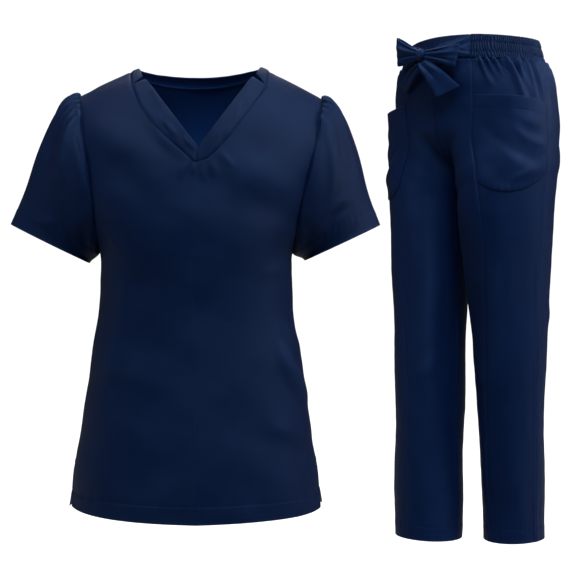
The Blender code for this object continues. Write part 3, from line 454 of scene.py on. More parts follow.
twill, paleWearAndPaintedLight = twillGroup(), paleWearAndPaintedLightGroup()
clothLook = {
    # The pale colour serves both abraded edges and painted light on crests and the tie.
    "deep": (0.0005, 0.0032, 0.0178), "pale": (0.0014, 0.0063, 0.03), "paleWearAndPaintedLight": (0.0042, 0.015, 0.052, 1),
    # Inner faces: a paler blue, partly the inner side of the weave and partly painted light that lifts the shaded
    # insides.
    "reverseAndPaintedLight": (0.003, 0.018, 0.086, 1), "sheenTint": (0.55, 0.66, 1.0, 1), "specularTint": (0.24, 0.52, 1.0, 1),
    "pitch": 0.00085, "sheen": 0.01, "sheenRoughness": 0.35, "specular": 0.11, "reliefStrength": 0.7,
    "shadeRoughness": 0.16, "roughnessDown": 0.06}
# What differs from cloth to cloth: its slot in the record, its painted brightness (painted light: the same navy made
# paler on the trousers and tie and a little darker on the waistband), the slubs, the depth of the weave, the
# roughness, and how strongly edges are abraded paler and crests and the tie made paler as painted light.
finishColumns = ("slot", "paintedBrightness", "slubs", "relief", "roughness", "wearAndPaintedLightStrength")
clothFinishes = {name: dict(zip(finishColumns, row)) for name, row in {
    "topCloth": ("top_cloth", 1.0, 0.35, 0.00022, 0.48, 0.35),
    "neckbandCloth": ("neckband_cloth", 1.0, 0.35, 0.00022, 0.47, 0.5),
    "trouserCloth": ("trouser_cloth", 1.3, 0.38, 0.00022, 0.47, 0.7),
    "waistbandCloth": ("waistband_cloth", 0.95, 0.35, 0.00022, 0.47, 0.6),
    "tieCloth": ("tie_cloth", 1.3, 0.3, 0.0002, 0.46, 1.1)}.items()}


# Cloth: twill in its navy at a painted brightness, paler at abraded edges and, as painted light, on fold crests and
# the tie, and a paler blue on inner faces, partly the inner side of the weave and partly painted light, with its
# weave as relief.
def clothMaterial(name, look):
    material, tree, shader = newMaterial(name)
    lengths = addNode(tree, "UVMap", uv_map="weave").outputs[0]
    weave = addNode(tree, "Group", {"Pitch": clothLook["pitch"], "Slubs": look["slubs"], "Lengths": lengths},
                    node_tree=twill)
    edge, inside = (addNode(tree, "Attribute", attribute_name=kind).outputs["Fac"] for kind in ("edge", "reverseAndPaintedLight"))
    worn = addNode(tree, "Group", {"Strength": look["wearAndPaintedLightStrength"], "Edge": edge, "Lengths": lengths}, node_tree=paleWearAndPaintedLight)
    # The same navy scaled by the cloth's painted brightness: painted light, paler on the trousers and tie.
    deep, pale = ([k * look["paintedBrightness"] for k in clothLook[shade]] + [1] for shade in ("deep", "pale"))
    colour = mixColours(tree, weave.outputs["Shade"], deep, pale)
    # Inner faces take the paler inner blue: partly the weave's inner side, partly painted light.
    colour = mixColours(tree, inside, colour, clothLook["reverseAndPaintedLight"])
    # Paler where abraded, and paler as painted light on crests, ruche tops and the tie.
    colour = mixColours(tree, worn.outputs["Mask"], colour, clothLook["paleWearAndPaintedLight"])
    rough = mathNode(tree, "MULTIPLY_ADD", weave.outputs["Shade"], clothLook["shadeRoughness"],
                     look["roughness"] - clothLook["roughnessDown"])
    relief = addNode(tree, "Bump", {"Distance": look["relief"], "Strength": clothLook["reliefStrength"],
                                    "Height": weave.outputs["Height"]})
    setInputs(tree, shader, {
        "Base Color": colour, "Roughness": rough, "Normal": relief.outputs[0], "Sheen Weight": clothLook["sheen"],
        "Sheen Roughness": clothLook["sheenRoughness"], "Sheen Tint": clothLook["sheenTint"],
        "Specular IOR Level": clothLook["specular"], "Specular Tint": clothLook["specularTint"]})
    return material


threadLook = {"deep": (0.0012, 0.0062, 0.028, 1), "pale": (0.0028, 0.0095, 0.039, 1), "twist": 2600.0, "relief": 0.0001}


# Thread: twisted yarn shown by fine bands along each stitch.
def threadMaterial():
    material, tree, shader = newMaterial("navyThread")
    where = addNode(tree, "TexCoord").outputs["Object"]
    twist = addNode(tree, "TexNoise", {"Vector": where, "Scale": threadLook["twist"]}).outputs["Fac"]
    relief = addNode(tree, "Bump", {"Distance": threadLook["relief"], "Height": twist})
    setInputs(tree, shader, {"Base Color": mixColours(tree, twist, threadLook["deep"], threadLook["pale"]),
                             "Roughness": mathNode(tree, "MULTIPLY_ADD", twist, 0.2, 0.35), "Specular IOR Level": 0.03,
                             "Normal": relief.outputs[0]})
    return material


finish = {name: clothMaterial(name, look) for name, look in clothFinishes.items()}
thread = threadMaterial()
print("finishes made")


# The top: one closed form round the body and over the shoulders, cut into its pieces.
topForm = {
    "columns": ("height", "halfWidth", "frontDepth", "backDepth"),
    "rows": milli((
        (-685, 196.5, 128, 120), (-630, 189, 125, 116), (-570, 179.5, 121, 111), (-510, 171, 116, 105),
        (-450, 162, 111, 98), (-390, 152, 108, 90), (-330, 147, 111, 89), (-280, 148.5, 118, 94),
        (-250, 164, 120, 97), (-210, 183, 119, 101), (-160, 201, 114, 103), (-100, 223, 107, 101),
        (-40, 240, 97, 96), (20, 245, 90, 92))),
    "boxiness": 0.035, "lean": 0.009, "leanFrom": -0.05, "leanTo": -0.27,
    "neckHalf": 0.094, "ridgeSlope": 0.468, "ridgeCrown": 0.018, "shoulderRound": 0.14,
    "armholeTopX": 0.185, "armpitHeight": -0.280,
    "hemCentre": -0.680, "backHem": -0.672, "hemSide": {"left": -0.671, "right": -0.664}, "hemBend": 1.15,
    "slitTop": -0.595, "slitTurn": radians(18), "slitHem": 0.010, "thick": 0.0011, "middle": (0, 0, -0.3),
    "neckShift": 0.006, "neckReach": 0.13, "shiftFrom": -0.20, "shiftTo": -0.07,
    "pointRise": 0.0045, "pointAt": 0.09, "pointReach": 0.05, "pointFrom": -0.12, "pointTo": -0.01,
    "hemStitch": 0.0235, "slitStitch": 0.009, "neckStitch": 0.0028, "rowHeight": 0.0059, "markColumns": 2.06,
}
armholeForm = {
    "columns": ("height", "halfWidth"),
    "rows": milli((
        (-280, 148.5), (-255, 150), (-217, 153.5), (-185, 158.5), (-110, 173.5), (-42.6, 185))),
}
neckForm = {
    "point": (-0.0005, -0.133), "foot": (-0.006, -0.1552),
    "notch": {"left": (0.0995, -0.0365), "right": (-0.1035, -0.034)},
    "bandTop": {"left": (0.079, -0.023), "right": (-0.081, -0.025)},
    "seam": {"left": ((0.017, -0.1485), (0.041, -0.121), (0.0626, -0.087)),
             "right": ((-0.024, -0.139), (-0.06, -0.106), (-0.09, -0.067))},
    "backEnd": {"left": (0.0855, -0.0165), "right": (-0.0868, -0.0185)},
    "seamHalf": 0.107, "backDown": 0.079, "backSeamDown": 0.102, "thick": 0.002, "middle": (0, 0, -0.15),
    "rise": 0.0006, "crown": 0.0007, "foldHalf": 0.0025, "endDrop": 0.0008, "endHalf": 0.002, "columns": 14,
    "tuck": {"neck_band_left": 0.0022, "neck_band_right": 0.0022, "back_neck_band": 0.001},
}
# Steps of the patches: six fine ones for each step of the solids.
steps = {"side": 66, "arm": 84, "seam": 48, "over": 12, "half": 48, "backNeck": 24}
steps["centre"] = steps["side"] + steps["arm"] - steps["seam"] - steps["over"]


# Round the body, x goes as sin(t) + k sin(3t) and y as cos(t) - k cos(3t): a circle drawn out towards a box.
def sideShare(theta):
    return (np.sin(theta) + topForm["boxiness"] * np.sin(3 * theta)) / (1 - topForm["boxiness"])


def depthShare(theta):
    return (np.cos(theta) - topForm["boxiness"] * np.cos(3 * theta)) / (1 - topForm["boxiness"])


# The turn at x and height z, read back from x as a share of the half width.
def thetaAt(x, z):
    angles = np.linspace(-pi / 2, pi / 2, 1441)
    return np.interp(x / halfWidthAt(z), sideShare(angles), angles)


# Half the width of the body at height z.
def halfWidthAt(z):
    return readColumn(topForm, "halfWidth", z)


# The shoulder line over x: a low crown between the neck points and a straight slope outside them.
def ridge(x):
    x, half = np.abs(x), topForm["neckHalf"]
    return np.where(x < half, topForm["ridgeCrown"] * (1 - (x / half) ** 2), -topForm["ridgeSlope"] * (x - half))


# How far the cloth drops for a length that comes over the shoulder, round a quarter circle and then straight.
def dropOf(down):
    down, radius = np.abs(down), topForm["shoulderRound"]
    turn = np.minimum(down / radius, pi / 2)
    return radius * (1 - np.cos(turn)) + np.maximum(down - radius * pi / 2, 0)


# The other way round: the length for a drop.
def downOf(drop):
    drop, radius = np.maximum(drop, 0), topForm["shoulderRound"]
    return radius * np.arccos(1 - np.minimum(drop / radius, 1)) + np.maximum(drop - radius, 0)


# The body. Of a place, theta goes round from the middle, and down is how far the cloth has come over the shoulder
# line, below zero in front.
def torso(place):
    form, theta, down = topForm, place[..., 0], place[..., 1]
    turn = np.minimum(np.abs(down) / form["shoulderRound"], pi / 2)
    x = sideShare(theta) * form["armholeTopX"]
    for _ in range(8):
        z = ridge(x) - dropOf(down)
        x = halfWidthAt(z) * sideShare(theta)
    depth = np.where(down < 0, -readColumn(form, "frontDepth", z), readColumn(form, "backDepth", z))
    shift = form["lean"] * ramp(z, form["leanFrom"], form["leanTo"])
    shift = shift + form["neckShift"] * bump(x, form["neckReach"]) * ramp(z, form["shiftFrom"], form["shiftTo"])
    lift = form["pointRise"] * bump(x - form["pointAt"], form["pointReach"])
    lift = lift * ramp(z, form["pointFrom"], form["pointTo"])
    return np.stack([x - shift, depth * depthShare(theta) * np.sin(turn), z + lift], -1)


# The place at x and height z, on the front (face -1) or the back (face 1).
def placeOn(x, z, face):
    x, z = np.asarray(x, float), np.asarray(z, float)
    return np.stack([thetaAt(x, z), face * downOf(ridge(x) - z)], -1)


# The place at a turn theta and height z.
def edgePlace(theta, z, face):
    return np.stack([theta, face * downOf(ridge(halfWidthAt(z) * sideShare(theta)) - z)], -1)


# The armhole's edge from the armpit to the shoulder, its heights spaced as half a cosine wave.
def armholePlace(sign, face):
    low, top = topForm["armpitHeight"], ridge(topForm["armholeTopX"])
    z = low + (top - low) * (1 - np.cos(pi * np.linspace(0, 1, steps["arm"] + 1))) / 2
    place = placeOn(sign * readColumn(armholeForm, "halfWidth", z), z, face)
    place[-1] = (thetaAt(sign * topForm["armholeTopX"], z[-1]), 0)
    place[0, 0] = sign * pi / 2
    return place


# The shoulder from the neck seam to the armhole, in equal steps of x.
def shoulderPlace(side, face, count):
    x = signOf[side] * np.linspace(neckForm["seamHalf"], topForm["armholeTopX"], count + 1)
    place = placeOn(x, ridge(x), face)
    place[:, 1] = 0
    return place


# The seam under a band in front, from its foot to its notch.
def neckSeam(side):
    points = (neckForm["foot"],) + neckForm["seam"][side] + (neckForm["notch"][side],)
    return alongRoute(alongRoute(points, 8), steps["seam"])


# From the end of the seam in front, over the shoulder, to the back at the given half width.
def overShoulder(start, side, half):
    return alongRoute((start, (signOf[side] * half, float(ridge(half)))), steps["over"])


# Half of the front, as places: a patch between the hem, the shoulder, the middle with the neck, and the side with
# the armhole.
def frontPatch(side):
    form, sign = topForm, signOf[side]
    seam = np.concatenate([neckSeam(side), overShoulder(neckForm["notch"][side], side, neckForm["seamHalf"])[1:]])
    centreZ = np.linspace(form["hemCentre"], seam[0, 1], steps["centre"] + 1)
    centre = placeOn(neckForm["foot"][0] * ramp(centreZ, form["hemCentre"], neckForm["foot"][1]), centreZ, -1)
    neck = placeOn(seam[1:, 0], seam[1:, 1], -1)
    neck[-1, 1] = 0
    sideZ = np.linspace(form["hemSide"][side], form["armpitHeight"], steps["side"] + 1)
    opened = np.clip((form["slitTop"] - sideZ) / (form["slitTop"] - sideZ[0]), 0, 1)
    outerEdge = edgePlace(sign * (pi / 2 - form["slitTurn"] * opened), sideZ, -1)
    u = np.linspace(0, 1, steps["half"] + 1)
    hemZ = form["hemCentre"] + (form["hemSide"][side] - form["hemCentre"]) * u ** form["hemBend"]
    return patchBetween(edgePlace(u * outerEdge[0, 0], hemZ, -1), shoulderPlace(side, -1, steps["half"]),
                        np.concatenate([centre, neck]), np.concatenate([outerEdge, armholePlace(sign, -1)[1:]]))


# Half of the back, the same way, with the neck seam as a quarter ellipse at the top.
def backPatch(side):
    form, sign, rows = topForm, signOf[side], steps["side"] + steps["arm"] + 1
    turn = np.linspace(pi / 2, 0, steps["backNeck"] + 1)
    seamX, seamDown = sign * neckForm["seamHalf"] * np.cos(turn), neckForm["backSeamDown"] * np.sin(turn)
    seamZ = ridge(seamX) - dropOf(seamDown)
    neck = np.stack([thetaAt(seamX, seamZ), seamDown], -1)
    sewn, loose = (np.linspace(low, form["armpitHeight"], steps["side"] + 1)
                   for low in (form["hemSide"][side], form["backHem"]))
    sideZ = loose + (sewn - loose) * ramp(loose, form["backHem"], form["slitTop"])
    outerEdge = edgePlace(np.full(len(sideZ), sign * pi / 2), sideZ, 1)
    centre = placeOn(np.zeros(rows), np.linspace(form["backHem"], seamZ[0], rows), 1)
    hemTheta = np.linspace(0, sign * pi / 2, steps["half"] + 1)
    shoulder = shoulderPlace(side, 1, steps["half"] - steps["backNeck"])
    return patchBetween(edgePlace(hemTheta, np.full(len(hemTheta), form["backHem"]), 1),
                        np.concatenate([neck, shoulder[1:]]), centre,
                        np.concatenate([outerEdge, armholePlace(sign, 1)[1:]]))


# Folds of the front and back, each row in millimetres: from x, from z, to x, to z, bow, half width, height.
topFolds = {
    "front": milli((
        (-86, -80, -14, -156, 5, 6, 1.2), (-94, -98, -30, -158, 4, 6.5, -0.6), (0, -152, 4, -184, 0, 3, 3.2),
        (10, -147, 22, -180, 0, 3, 3), (-18, -143, -34, -180, 0, 3.4, 3), (24, -133, 46, -166, 0, 3.6, 2.4),
        (-10, -150, -16, -174, 0, 2.6, 2.4), (-185, -75, -30, -212, -6, 28, 2.6),
        (-160, -132, -45, -245, -4, 22, -1.2), (0, -130, 180, -185, 10, 34, 6.2),
        (50, -188, 165, -248, 6, 16, -1.8), (108, -405, 163, -522, 4, 10, 9), (118, -455, 162, -530, 4, 10, -1.4),
        (98, -380, 158, -440, 0, 11, 3), (85, -520, 168, -575, 4, 16, 3), (100, -548, 170, -594, 0, 11, -1.6),
        (85, -322, 150, -300, -3, 8, 1.9), (-110, -300, -168, -530, -8, 14, 2.6),
        (-80, -330, -130, -540, -8, 18, -1.6), (-30, -190, -40, -430, 4, 32, 1.4),
        (-160, -440, -85, -480, 4, 12, 1.4), (40, -600, 60, -690, 0, 16, 1.4), (-60, -590, -85, -690, 0, 18, 1.4),
        (120, -610, 140, -690, 0, 14, 1.2), (-150, -250, -85, -300, 4, 9, 1.6))),
    "back": milli((
        (-170, -90, -50, -190, 8, 18, 3), (168, -80, 60, -205, -8, 19, 3), (-150, -250, -60, -330, 6, 12, 2.6),
        (150, -262, 65, -320, -6, 12, 2.4), (-150, -400, -40, -440, 10, 11, 3), (155, -385, 30, -452, -10, 12, 3.2),
        (-120, -455, 0, -480, 8, 11, 2.2), (140, -470, 60, -530, 0, 13, 2.2), (0, -120, 4, -300, 0, 26, -1.4),
        (-70, -560, -90, -690, 0, 18, 1.8), (50, -540, 75, -690, 0, 20, 1.8), (-110, -120, -90, -300, 0, 22, 1.6))),
}
# How uneven each part is: the size of the waves, their height and their seed.
unevenness = {"top": ((0.11, 0.0009, 5), (0.03, 0.00018, 9)), "neck": (0.024, 0.00022, 3), "tie": (0.03, 0.0003),
              "sleeve": (0.07, 0.0006, 21), "band": (0.03, 0.0003, 8), "pocket": (0.05, 0.0005, 41)}


# Where a piece of the top is cut, how its cloth dips: at the armhole and side seams, the neck seam, the hem and slits.
def dressTop(face, side):
    front, half = face == "front", steps["half"]
    patch = (frontPatch if front else backPatch)(side)
    rowMarks = (0, hemLook["depth"] / topForm["rowHeight"], len(patch) - 1)
    base = torso(refined(patch, rowMarks, (0 if front else half, half, half - topForm["markColumns"])))
    x, z = base[..., 0], base[..., 2]
    height = foldHeights(topFolds[face], x, z) + sum(uneven(x, z, *row) for row in unevenness["top"])
    toSide, toHem, toShoulder, inner = fromEdges(base, "lastCol", "firstRow", "lastRow", "firstCol")
    sewn = seamHeight(toSide, np.where(z > topForm["armpitHeight"], 0.15, 0.7))
    height += np.where(z < topForm["slitTop"], hemHeight(toSide, z, topForm["slitHem"]), sewn)
    height += hemHeight(toHem, x) + seamHeight(toShoulder, 0.6)
    seams = [toSide, toHem, toShoulder]
    if front:
        aboveFoot = np.arange(len(base)) >= np.searchsorted(base[:, 0, 2], neckForm["foot"][1] - 0.5 * mm)
        height += np.where(aboveFoot[:, None], seamHeight(inner, 0.5), 0)
        seams.append(np.where(aboveFoot[:, None], inner, 1))
    return base + normalsFrom(base, topForm["middle"]) * height[..., None], wornMask(height, *seams)


# Both halves of a panel, sewn at the middle, with stitches beside the hem, the slits and the neck.
def makeTopPanel(face):
    form, grids, normals, wearAndPaintedLight, lines = topForm, [], [], [], []
    for side in sides:
        grid, worn = dressTop(face, side)
        grown = normalsFrom(grid, form["middle"])
        neckEdge = "firstCol" if face == "front" else "lastRow"
        hem, slit, neck = (lineBeside(grid, grown, edge, form[gap]) for edge, gap in
                           (("firstRow", "hemStitch"), ("lastCol", "slitStitch"), (neckEdge, "neckStitch")))
        below = grid[:, -1, 2] < form["slitTop"] + 6 * mm
        if face == "front":
            beside = grid[:, 0, 2] > neckForm["foot"][1]
        else:
            beside = np.abs(grid[-1, :, 0]) < neckForm["seamHalf"]
        lines += [hem, [k[below] for k in slit], [k[beside] for k in neck]]
        for kept, made in ((grids, grid), (normals, grown), (wearAndPaintedLight, worn)):
            kept.append(made[:, ::signOf[side]])
    makePiece("top" + face.capitalize(), "top_" + face, "topCloth", form["thick"], grids, normals, wearAndPaintedLight, lines)


for face in ("front", "back"):
    makeTopPanel(face)
print("top panels made")


# The bands of the neck.
neckFolds = milli((
    (-78, -30, -55, -75, 2, 4, 1), (-70, -85, -30, -128, -3, 4.5, 1.6), (-60, -88, -40, -125, 3, 4, -1.2),
    (-30, -112, -5, -140, 2, 3, 1), (30, -90, 18, -140, 0, 3.5, 0.8), (60, -50, 45, -105, 2, 4, 0.8)))


# A band between its free edge and its seam, given round the body: ruled from one to the other, and crowned over the
# free edge, where the cloth is folded. Two columns past the seam are tucked under it.
def makeBand(name, edge, seam, node):
    form, last = neckForm, neckForm["columns"]
    u = np.concatenate([np.linspace(0, 1, last + 1), (1.06, 1.14)])[None, :, None]
    place = edge[:, None] * (1 - u) + seam[:, None] * u
    base = torso(refined(place, (0, len(place) - 1), (0, last)))
    x, z = base[..., 0], base[..., 2]
    sewn = int(np.argmin(np.abs(fineSteps(last + 2, (0, last)) - last)))
    fromFold, fromStart, fromEnd = fromEdges(base, "firstCol", "firstRow", "lastRow")
    toSeam, ends = np.linalg.norm(base - base[:, sewn:sewn + 1], axis=2), np.minimum(fromStart, fromEnd)
    height = form["rise"] * (1 - bump(fromFold, form["foldHalf"])) + form["crown"] * ramp(toSeam, 2 * mm, 6 * mm)
    height += seamHeight(toSeam, 0.5) + uneven(x, z, *unevenness["neck"])
    height -= form["tuck"][node] * ramp(np.arange(base.shape[1]) * 1.0, sewn, sewn + 2)[None]
    height -= form["endDrop"] * bump(ends, form["endHalf"])
    if node != "back_neck_band":
        height += foldHeights(neckFolds, x, z)
    if node == "neck_band_left":
        height -= mm * (1 - ramp(x, 2 * mm, 14 * mm))  # it goes under the right one at the point
    grid = base + normalsFrom(base, form["middle"]) * height[..., None]
    grown = normalsFrom(grid, form["middle"])
    shown = np.s_[:, :sewn + 1]
    lines = [lineBeside(grid, grown, "firstCol", 2.2 * mm), lineBeside(grid[shown], grown[shown], "lastCol", 2.4 * mm)]
    makePiece(name, node, "neckbandCloth", form["thick"], [grid], [grown], [edgeMask(fromFold, toSeam, ends)], lines)


# The two bands in front and the one behind, whose edges run round the neck as half ellipses.
def makeNeck():
    form, turn = neckForm, np.linspace(0, pi, 2 * steps["backNeck"] + 1)
    for side in sides:
        seam, edge = neckSeam(side), alongRoute((form["point"], form["bandTop"][side]), steps["seam"])
        makeBand("neckBand" + side.capitalize(), placeOn(edge[:, 0], edge[:, 1], -1),
                 placeOn(seam[:, 0], seam[:, 1], -1), "neck_band_" + side)
    routes = []
    for half, down, ends in ((topForm["neckHalf"], form["backDown"], form["backEnd"]),
                             (form["seamHalf"], form["backSeamDown"], form["notch"])):
        x, downs = half * np.cos(turn), down * np.sin(turn)
        behind = np.stack([thetaAt(x, ridge(x) - dropOf(downs)), downs], -1)
        start, end = (placeOn(k[:, 0], k[:, 1], -1) for k in (overShoulder(ends[s], s, half)[:-1] for s in sides))
        routes.append(np.concatenate([start, behind, end[::-1]]))
    makeBand("neckBandBack", *routes, "back_neck_band")


makeNeck()
print("neck bands made")


# The sleeves.
sleeveForm = {
    "hemOut": {"left": (0.2850, -0.2380), "right": (0.2860, -0.2390)},
    "hemIn": {"left": (0.1665, -0.2940), "right": (0.1665, -0.2985)},
    "hemDepth": 0.054, "hemShift": -0.0072, "hemBack": 0.004, "outward": 0.25, "capOutward": 2.6, "capLift": 0.95,
    "capPower": 1.5, "depthOutward": 0.8, "underarmReach": 0.032, "capReach": 0.130, "rows": 46, "hemShare": 0.86,
    "thick": 0.0011, "hem": 0.025, "hemStitch": 0.0235, "capFine": 29, "length": 0.20, "tuck": 0.003,
    "tuckDrop": 0.0012, "perDegree": 0.0020, "perDegreeLess": 0.0009, "seam": 0.15,
    "fanTurn": 0.5, "fanOpening": 2, "fanFrom": -0.10, "hemCalm": 0.2, "smoothFrom": 150,
}
# Gathers over the cap: where each stands round the armhole in degrees (0 over the shoulder, 90 in front), its half
# width in degrees, its height, and how far down the sleeve it runs as a share of the length.
capGathers = {
    "left": (
        (-36, 3, 0.004, 0.34), (-27, 2.6, 0.005, 0.3), (-18, 2.4, 0.0056, 0.36), (-9, 2.6, 0.005, 0.3),
        (0, 2.8, 0.0058, 0.36), (9, 2.6, 0.0056, 0.3), (17, 2.2, 0.006, 0.34), (24, 2, 0.0062, 0.5),
        (31, 2.2, 0.0056, 0.44), (39, 2.6, 0.005, 0.6), (48, 3.2, 0.0036, 0.5)),
    "right": (
        (-37, 3, 0.004, 0.34), (-28, 2.6, 0.0048, 0.3), (-19, 2.4, 0.0054, 0.36), (-10, 2.6, 0.005, 0.3),
        (-1, 2.8, 0.0056, 0.36), (8, 2.6, 0.0054, 0.3), (16, 2.2, 0.0058, 0.34), (23, 2, 0.006, 0.44),
        (30, 2.2, 0.0058, 0.54), (38, 2.6, 0.0048, 0.56), (47, 3.2, 0.0038, 0.6)),
}
# Longer folds: from degrees, from share of the length, to degrees, to share, bow, half width, height.
sleeveFolds = {
    "left": np.array((
        (30, 0.03, 66, 0.07, 0, 0.004, 0.0034), (18, 0.06, 28, 0.42, 0, 0.0045, 0.0036),
        (22, -0.05, 44, 0.8, 0.004, 0.009, 0.004), (34, 0.02, 66, 0.7, 0.002, 0.008, -0.0026),
        (55, 0.05, 88, 0.62, -0.004, 0.009, 0.0026), (62, 0.7, 112, 0.6, 0.004, 0.0055, 0.003),
        (60, 0.78, 110, 0.7, 0.004, 0.0055, -0.002), (8, 0.15, 14, 0.9, 0, 0.012, 0.0022),
        (-30, 0, -60, 0.75, 0, 0.01, 0.003), (-80, 0.2, -110, 0.8, 0, 0.011, 0.0026),
        (120, 0.2, 100, 0.95, 0, 0.012, 0.002))),
    "right": np.array((
        (28, 0.03, 64, 0.07, 0, 0.004, 0.0038), (14, 0.06, 22, 0.42, 0, 0.0042, 0.0036),
        (60, 0.16, 84, 0.1, 0, 0.0035, -0.0022), (24, -0.05, 30, 0.95, 0.004, 0.006, 0.003),
        (34, 0, 52, 0.8, 0, 0.01, -0.0024), (50, 0.02, 78, 0.62, -0.004, 0.009, 0.003),
        (10, 0.1, 12, 0.95, 0, 0.01, 0.0018), (95, 0.74, 50, 0.92, 0.004, 0.006, 0.0018),
        (-34, 0, -62, 0.8, 0, 0.011, 0.003), (-85, 0.15, -112, 0.85, 0, 0.011, 0.0024),
        (118, 0.15, 104, 0.9, 0, 0.012, 0.002))),
}


# A sleeve: from each point of the armhole a cubic runs to the same turn of an oval hem. It leaves the armhole along
# the arm, and outwards and upwards over the cap, and meets the hem square. Also its turns in degrees, and its rows
# as shares of the length.
def sleeveGrid(side):
    sign, form = signOf[side], sleeveForm
    front, back = (torso(armholePlace(sign, face)) for face in (-1, 1))
    ring = np.concatenate([front[::-1], back[1:-1], front[-1:]])
    count, close = len(ring) - 1, np.arange(0, form["capFine"], 1 / 3)
    at = np.unique(np.round(np.concatenate([np.arange(count), close, count - close[1:]]), 4))
    ring = pointsAt(at, np.arange(count + 1), ring)
    out, into = (np.array((sign * form[k][side][0], 0, form[k][side][1])) for k in ("hemOut", "hemIn"))
    across = (out - into) / 2
    axis = unit(np.cross(across, (0, sign, 0)))
    axis = axis * np.sign(-axis[2])
    centre = (out + into) / 2 + np.array((form["hemShift"], form["hemBack"], 0))
    turn = (2 * pi * at / count)[:, None]
    hem = centre + np.cos(turn) * across - np.sin(turn) * np.array((0, form["hemDepth"], 0))
    over = (1 + np.cos(turn)) / 2
    cap = over ** form["capPower"]
    outward = unit(np.cos(turn) * unit(across) + np.sin(turn) * np.array((0, -form["depthOutward"], 0)))
    start = axis + (form["outward"] + form["capOutward"] * cap) * outward + form["capLift"] * cap * np.array((0, 0, 1))
    start = unit(start)
    reach = form["underarmReach"] + (form["capReach"] - form["underarmReach"]) * over
    length = np.linalg.norm(hem - ring, axis=1, keepdims=True)
    share = fineSteps(form["rows"], (0, form["rows"] * form["hemShare"], form["rows"])) / form["rows"]
    grid = cubic(share[:, None, None], ring, hem, start * reach, axis * length)
    degrees = np.degrees(turn[:, 0])
    return (np.concatenate([(ring - form["tuck"] * start)[None], grid]),
            np.where(degrees > 180, degrees - 360, degrees), np.concatenate([[0], share]))


# Metres for each degree round the sleeve: the armhole is longer round than the cuff.
def armLength(down):
    return sleeveForm["perDegree"] - sleeveForm["perDegreeLess"] * down


# A sleeve's cloth: its grid, raised along its normals by the seam, the hem, the gathers and the folds.
def makeSleeve(side):
    form = sleeveForm
    base, degrees, share = sleeveGrid(side)
    degrees, down = degrees[None], share[:, None]
    u, along = degrees * armLength(down), down * form["length"]
    middle = base.mean(axis=1, keepdims=True)
    toSeam, toHem = np.linalg.norm(base - base[1:2], axis=2), fromEdges(base, "lastRow")[0]
    height = seamHeight(toSeam, form["seam"]) + hemHeight(toHem, u, form["hem"])
    for at, half, rise, run in capGathers[side]:
        fan = bump(degrees - at * (1 + form["fanTurn"] * down), half * (1 + form["fanOpening"] * down))
        height += rise * fan * (1 - ramp(down, form["fanFrom"], run)) * ramp(toSeam, -mm, 4 * mm)
    folds = sleeveFolds[side].copy()
    folds[:, [0, 2]] *= armLength(folds[:, [1, 3]])
    folds[:, [1, 3]] *= form["length"]
    calm = ramp(toHem, 2 * mm, 35 * mm) * (1 - form["hemCalm"]) + form["hemCalm"]
    height += foldHeights(folds, u, along) * calm
    height += uneven(u, along, *unevenness["sleeve"]) * (1 - ramp(np.abs(degrees), form["smoothFrom"], 180))
    height[0] = -form["tuckDrop"]
    grid = base + normalsFrom(base, middle, closed=True) * height[..., None]
    grown = normalsFrom(grid, middle, closed=True)
    hem = [np.concatenate([k, k[:1]]) for k in lineBeside(grid, grown, "lastRow", form["hemStitch"])]
    makePiece("sleeve" + side.capitalize(), "sleeve_" + side, "topCloth", form["thick"], [grid], [grown],
              [wornMask(height, toSeam, toHem)], [hem], closed=True)


for side in sides:
    makeSleeve(side)
print("sleeves made")


# The trousers: a hip form and two leg forms that melt into each other, cut into panels.
hipForm = {
    "columns": ("height", "halfWidth", "frontDepth", "backDepth"),
    "rows": milli((
        (-345, 165.5, 104, 104), (-300, 171.5, 106, 114), (-245, 176, 106, 130), (-200, 175, 102, 135),
        (-160, 174.5, 103, 139), (-120, 169, 107, 136), (-80, 158, 113, 131), (-39, 139, 114, 119),
        (0, 129, 107, 109))),
}
legForm = {
    "columns": ("height", "centreX", "leftY", "leftHalfWidth", "leftHalfDepth",
                "rightY", "rightHalfWidth", "rightHalfDepth"),
    "rows": milli((
        (-940, 61.5, 50, 52, 64.5, -52, 66, 58.5), (-870, 64.5, 43.5, 53.2, 61.5, -48, 65.5, 60.5),
        (-780, 68, 35.5, 56, 63.5, -43, 65, 62.5), (-690, 71.5, 27.5, 59, 65, -38, 65.5, 65),
        (-600, 75, 19.5, 62.5, 69.5, -32, 67, 67.5), (-520, 78.8, 12, 65.6, 74, -27.5, 68.2, 70),
        (-427, 82.8, 2.5, 71.4, 84, -21, 73, 78), (-330, 86, -5, 80.6, 95.5, -11, 78.8, 88),
        (-245, 88, -6, 87.8, 105, -6, 87.8, 97), (-130, 88, -6, 87.8, 105, -6, 87.8, 97))),
}
# The long seam of the front: how far round it runs, 0 at the middle of the front and 0.5 at the side seam.
frontSeam = {
    "columns": ("height", "share"),
    "rows": milli((
        (-940, 233), (-856, 227), (-770, 231), (-650, 242), (-524, 260), (-416, 284), (-310, 275), (-244, 223),
        (-205, 176), (-172, 157), (-115, 161), (-40, 190), (0, 190))),
}
trouserForm = {
    "length": 0.932, "hipLine": -0.150, "crotch": -0.245, "thighLine": -0.310, "crotchCurve": 0.084, "crotchNarrow": 24,
    "crotchPower": 0.6, "sidePower": 6, "thighFrom": -0.345, "thighTo": -0.125, "bandHeight": 0.043, "bandRise": 0.0004,
    "bandShare": 0.190, "frontDip": 0.006, "sideDip": 0.009, "dipGone": -0.25, "halfWidth": 0.125, "halfDepth": 0.110,
    "thick": 0.0011, "perShare": 0.46, "rows": (36, 38, 18, 90), "hem": 0.025, "tuck": 0.0045, "tuckDrop": 0.0012,
    "hemStitch": 0.0235, "calmAtSeam": 0.75, "calmFrom": -0.15, "calmHalf": 0.004,
}


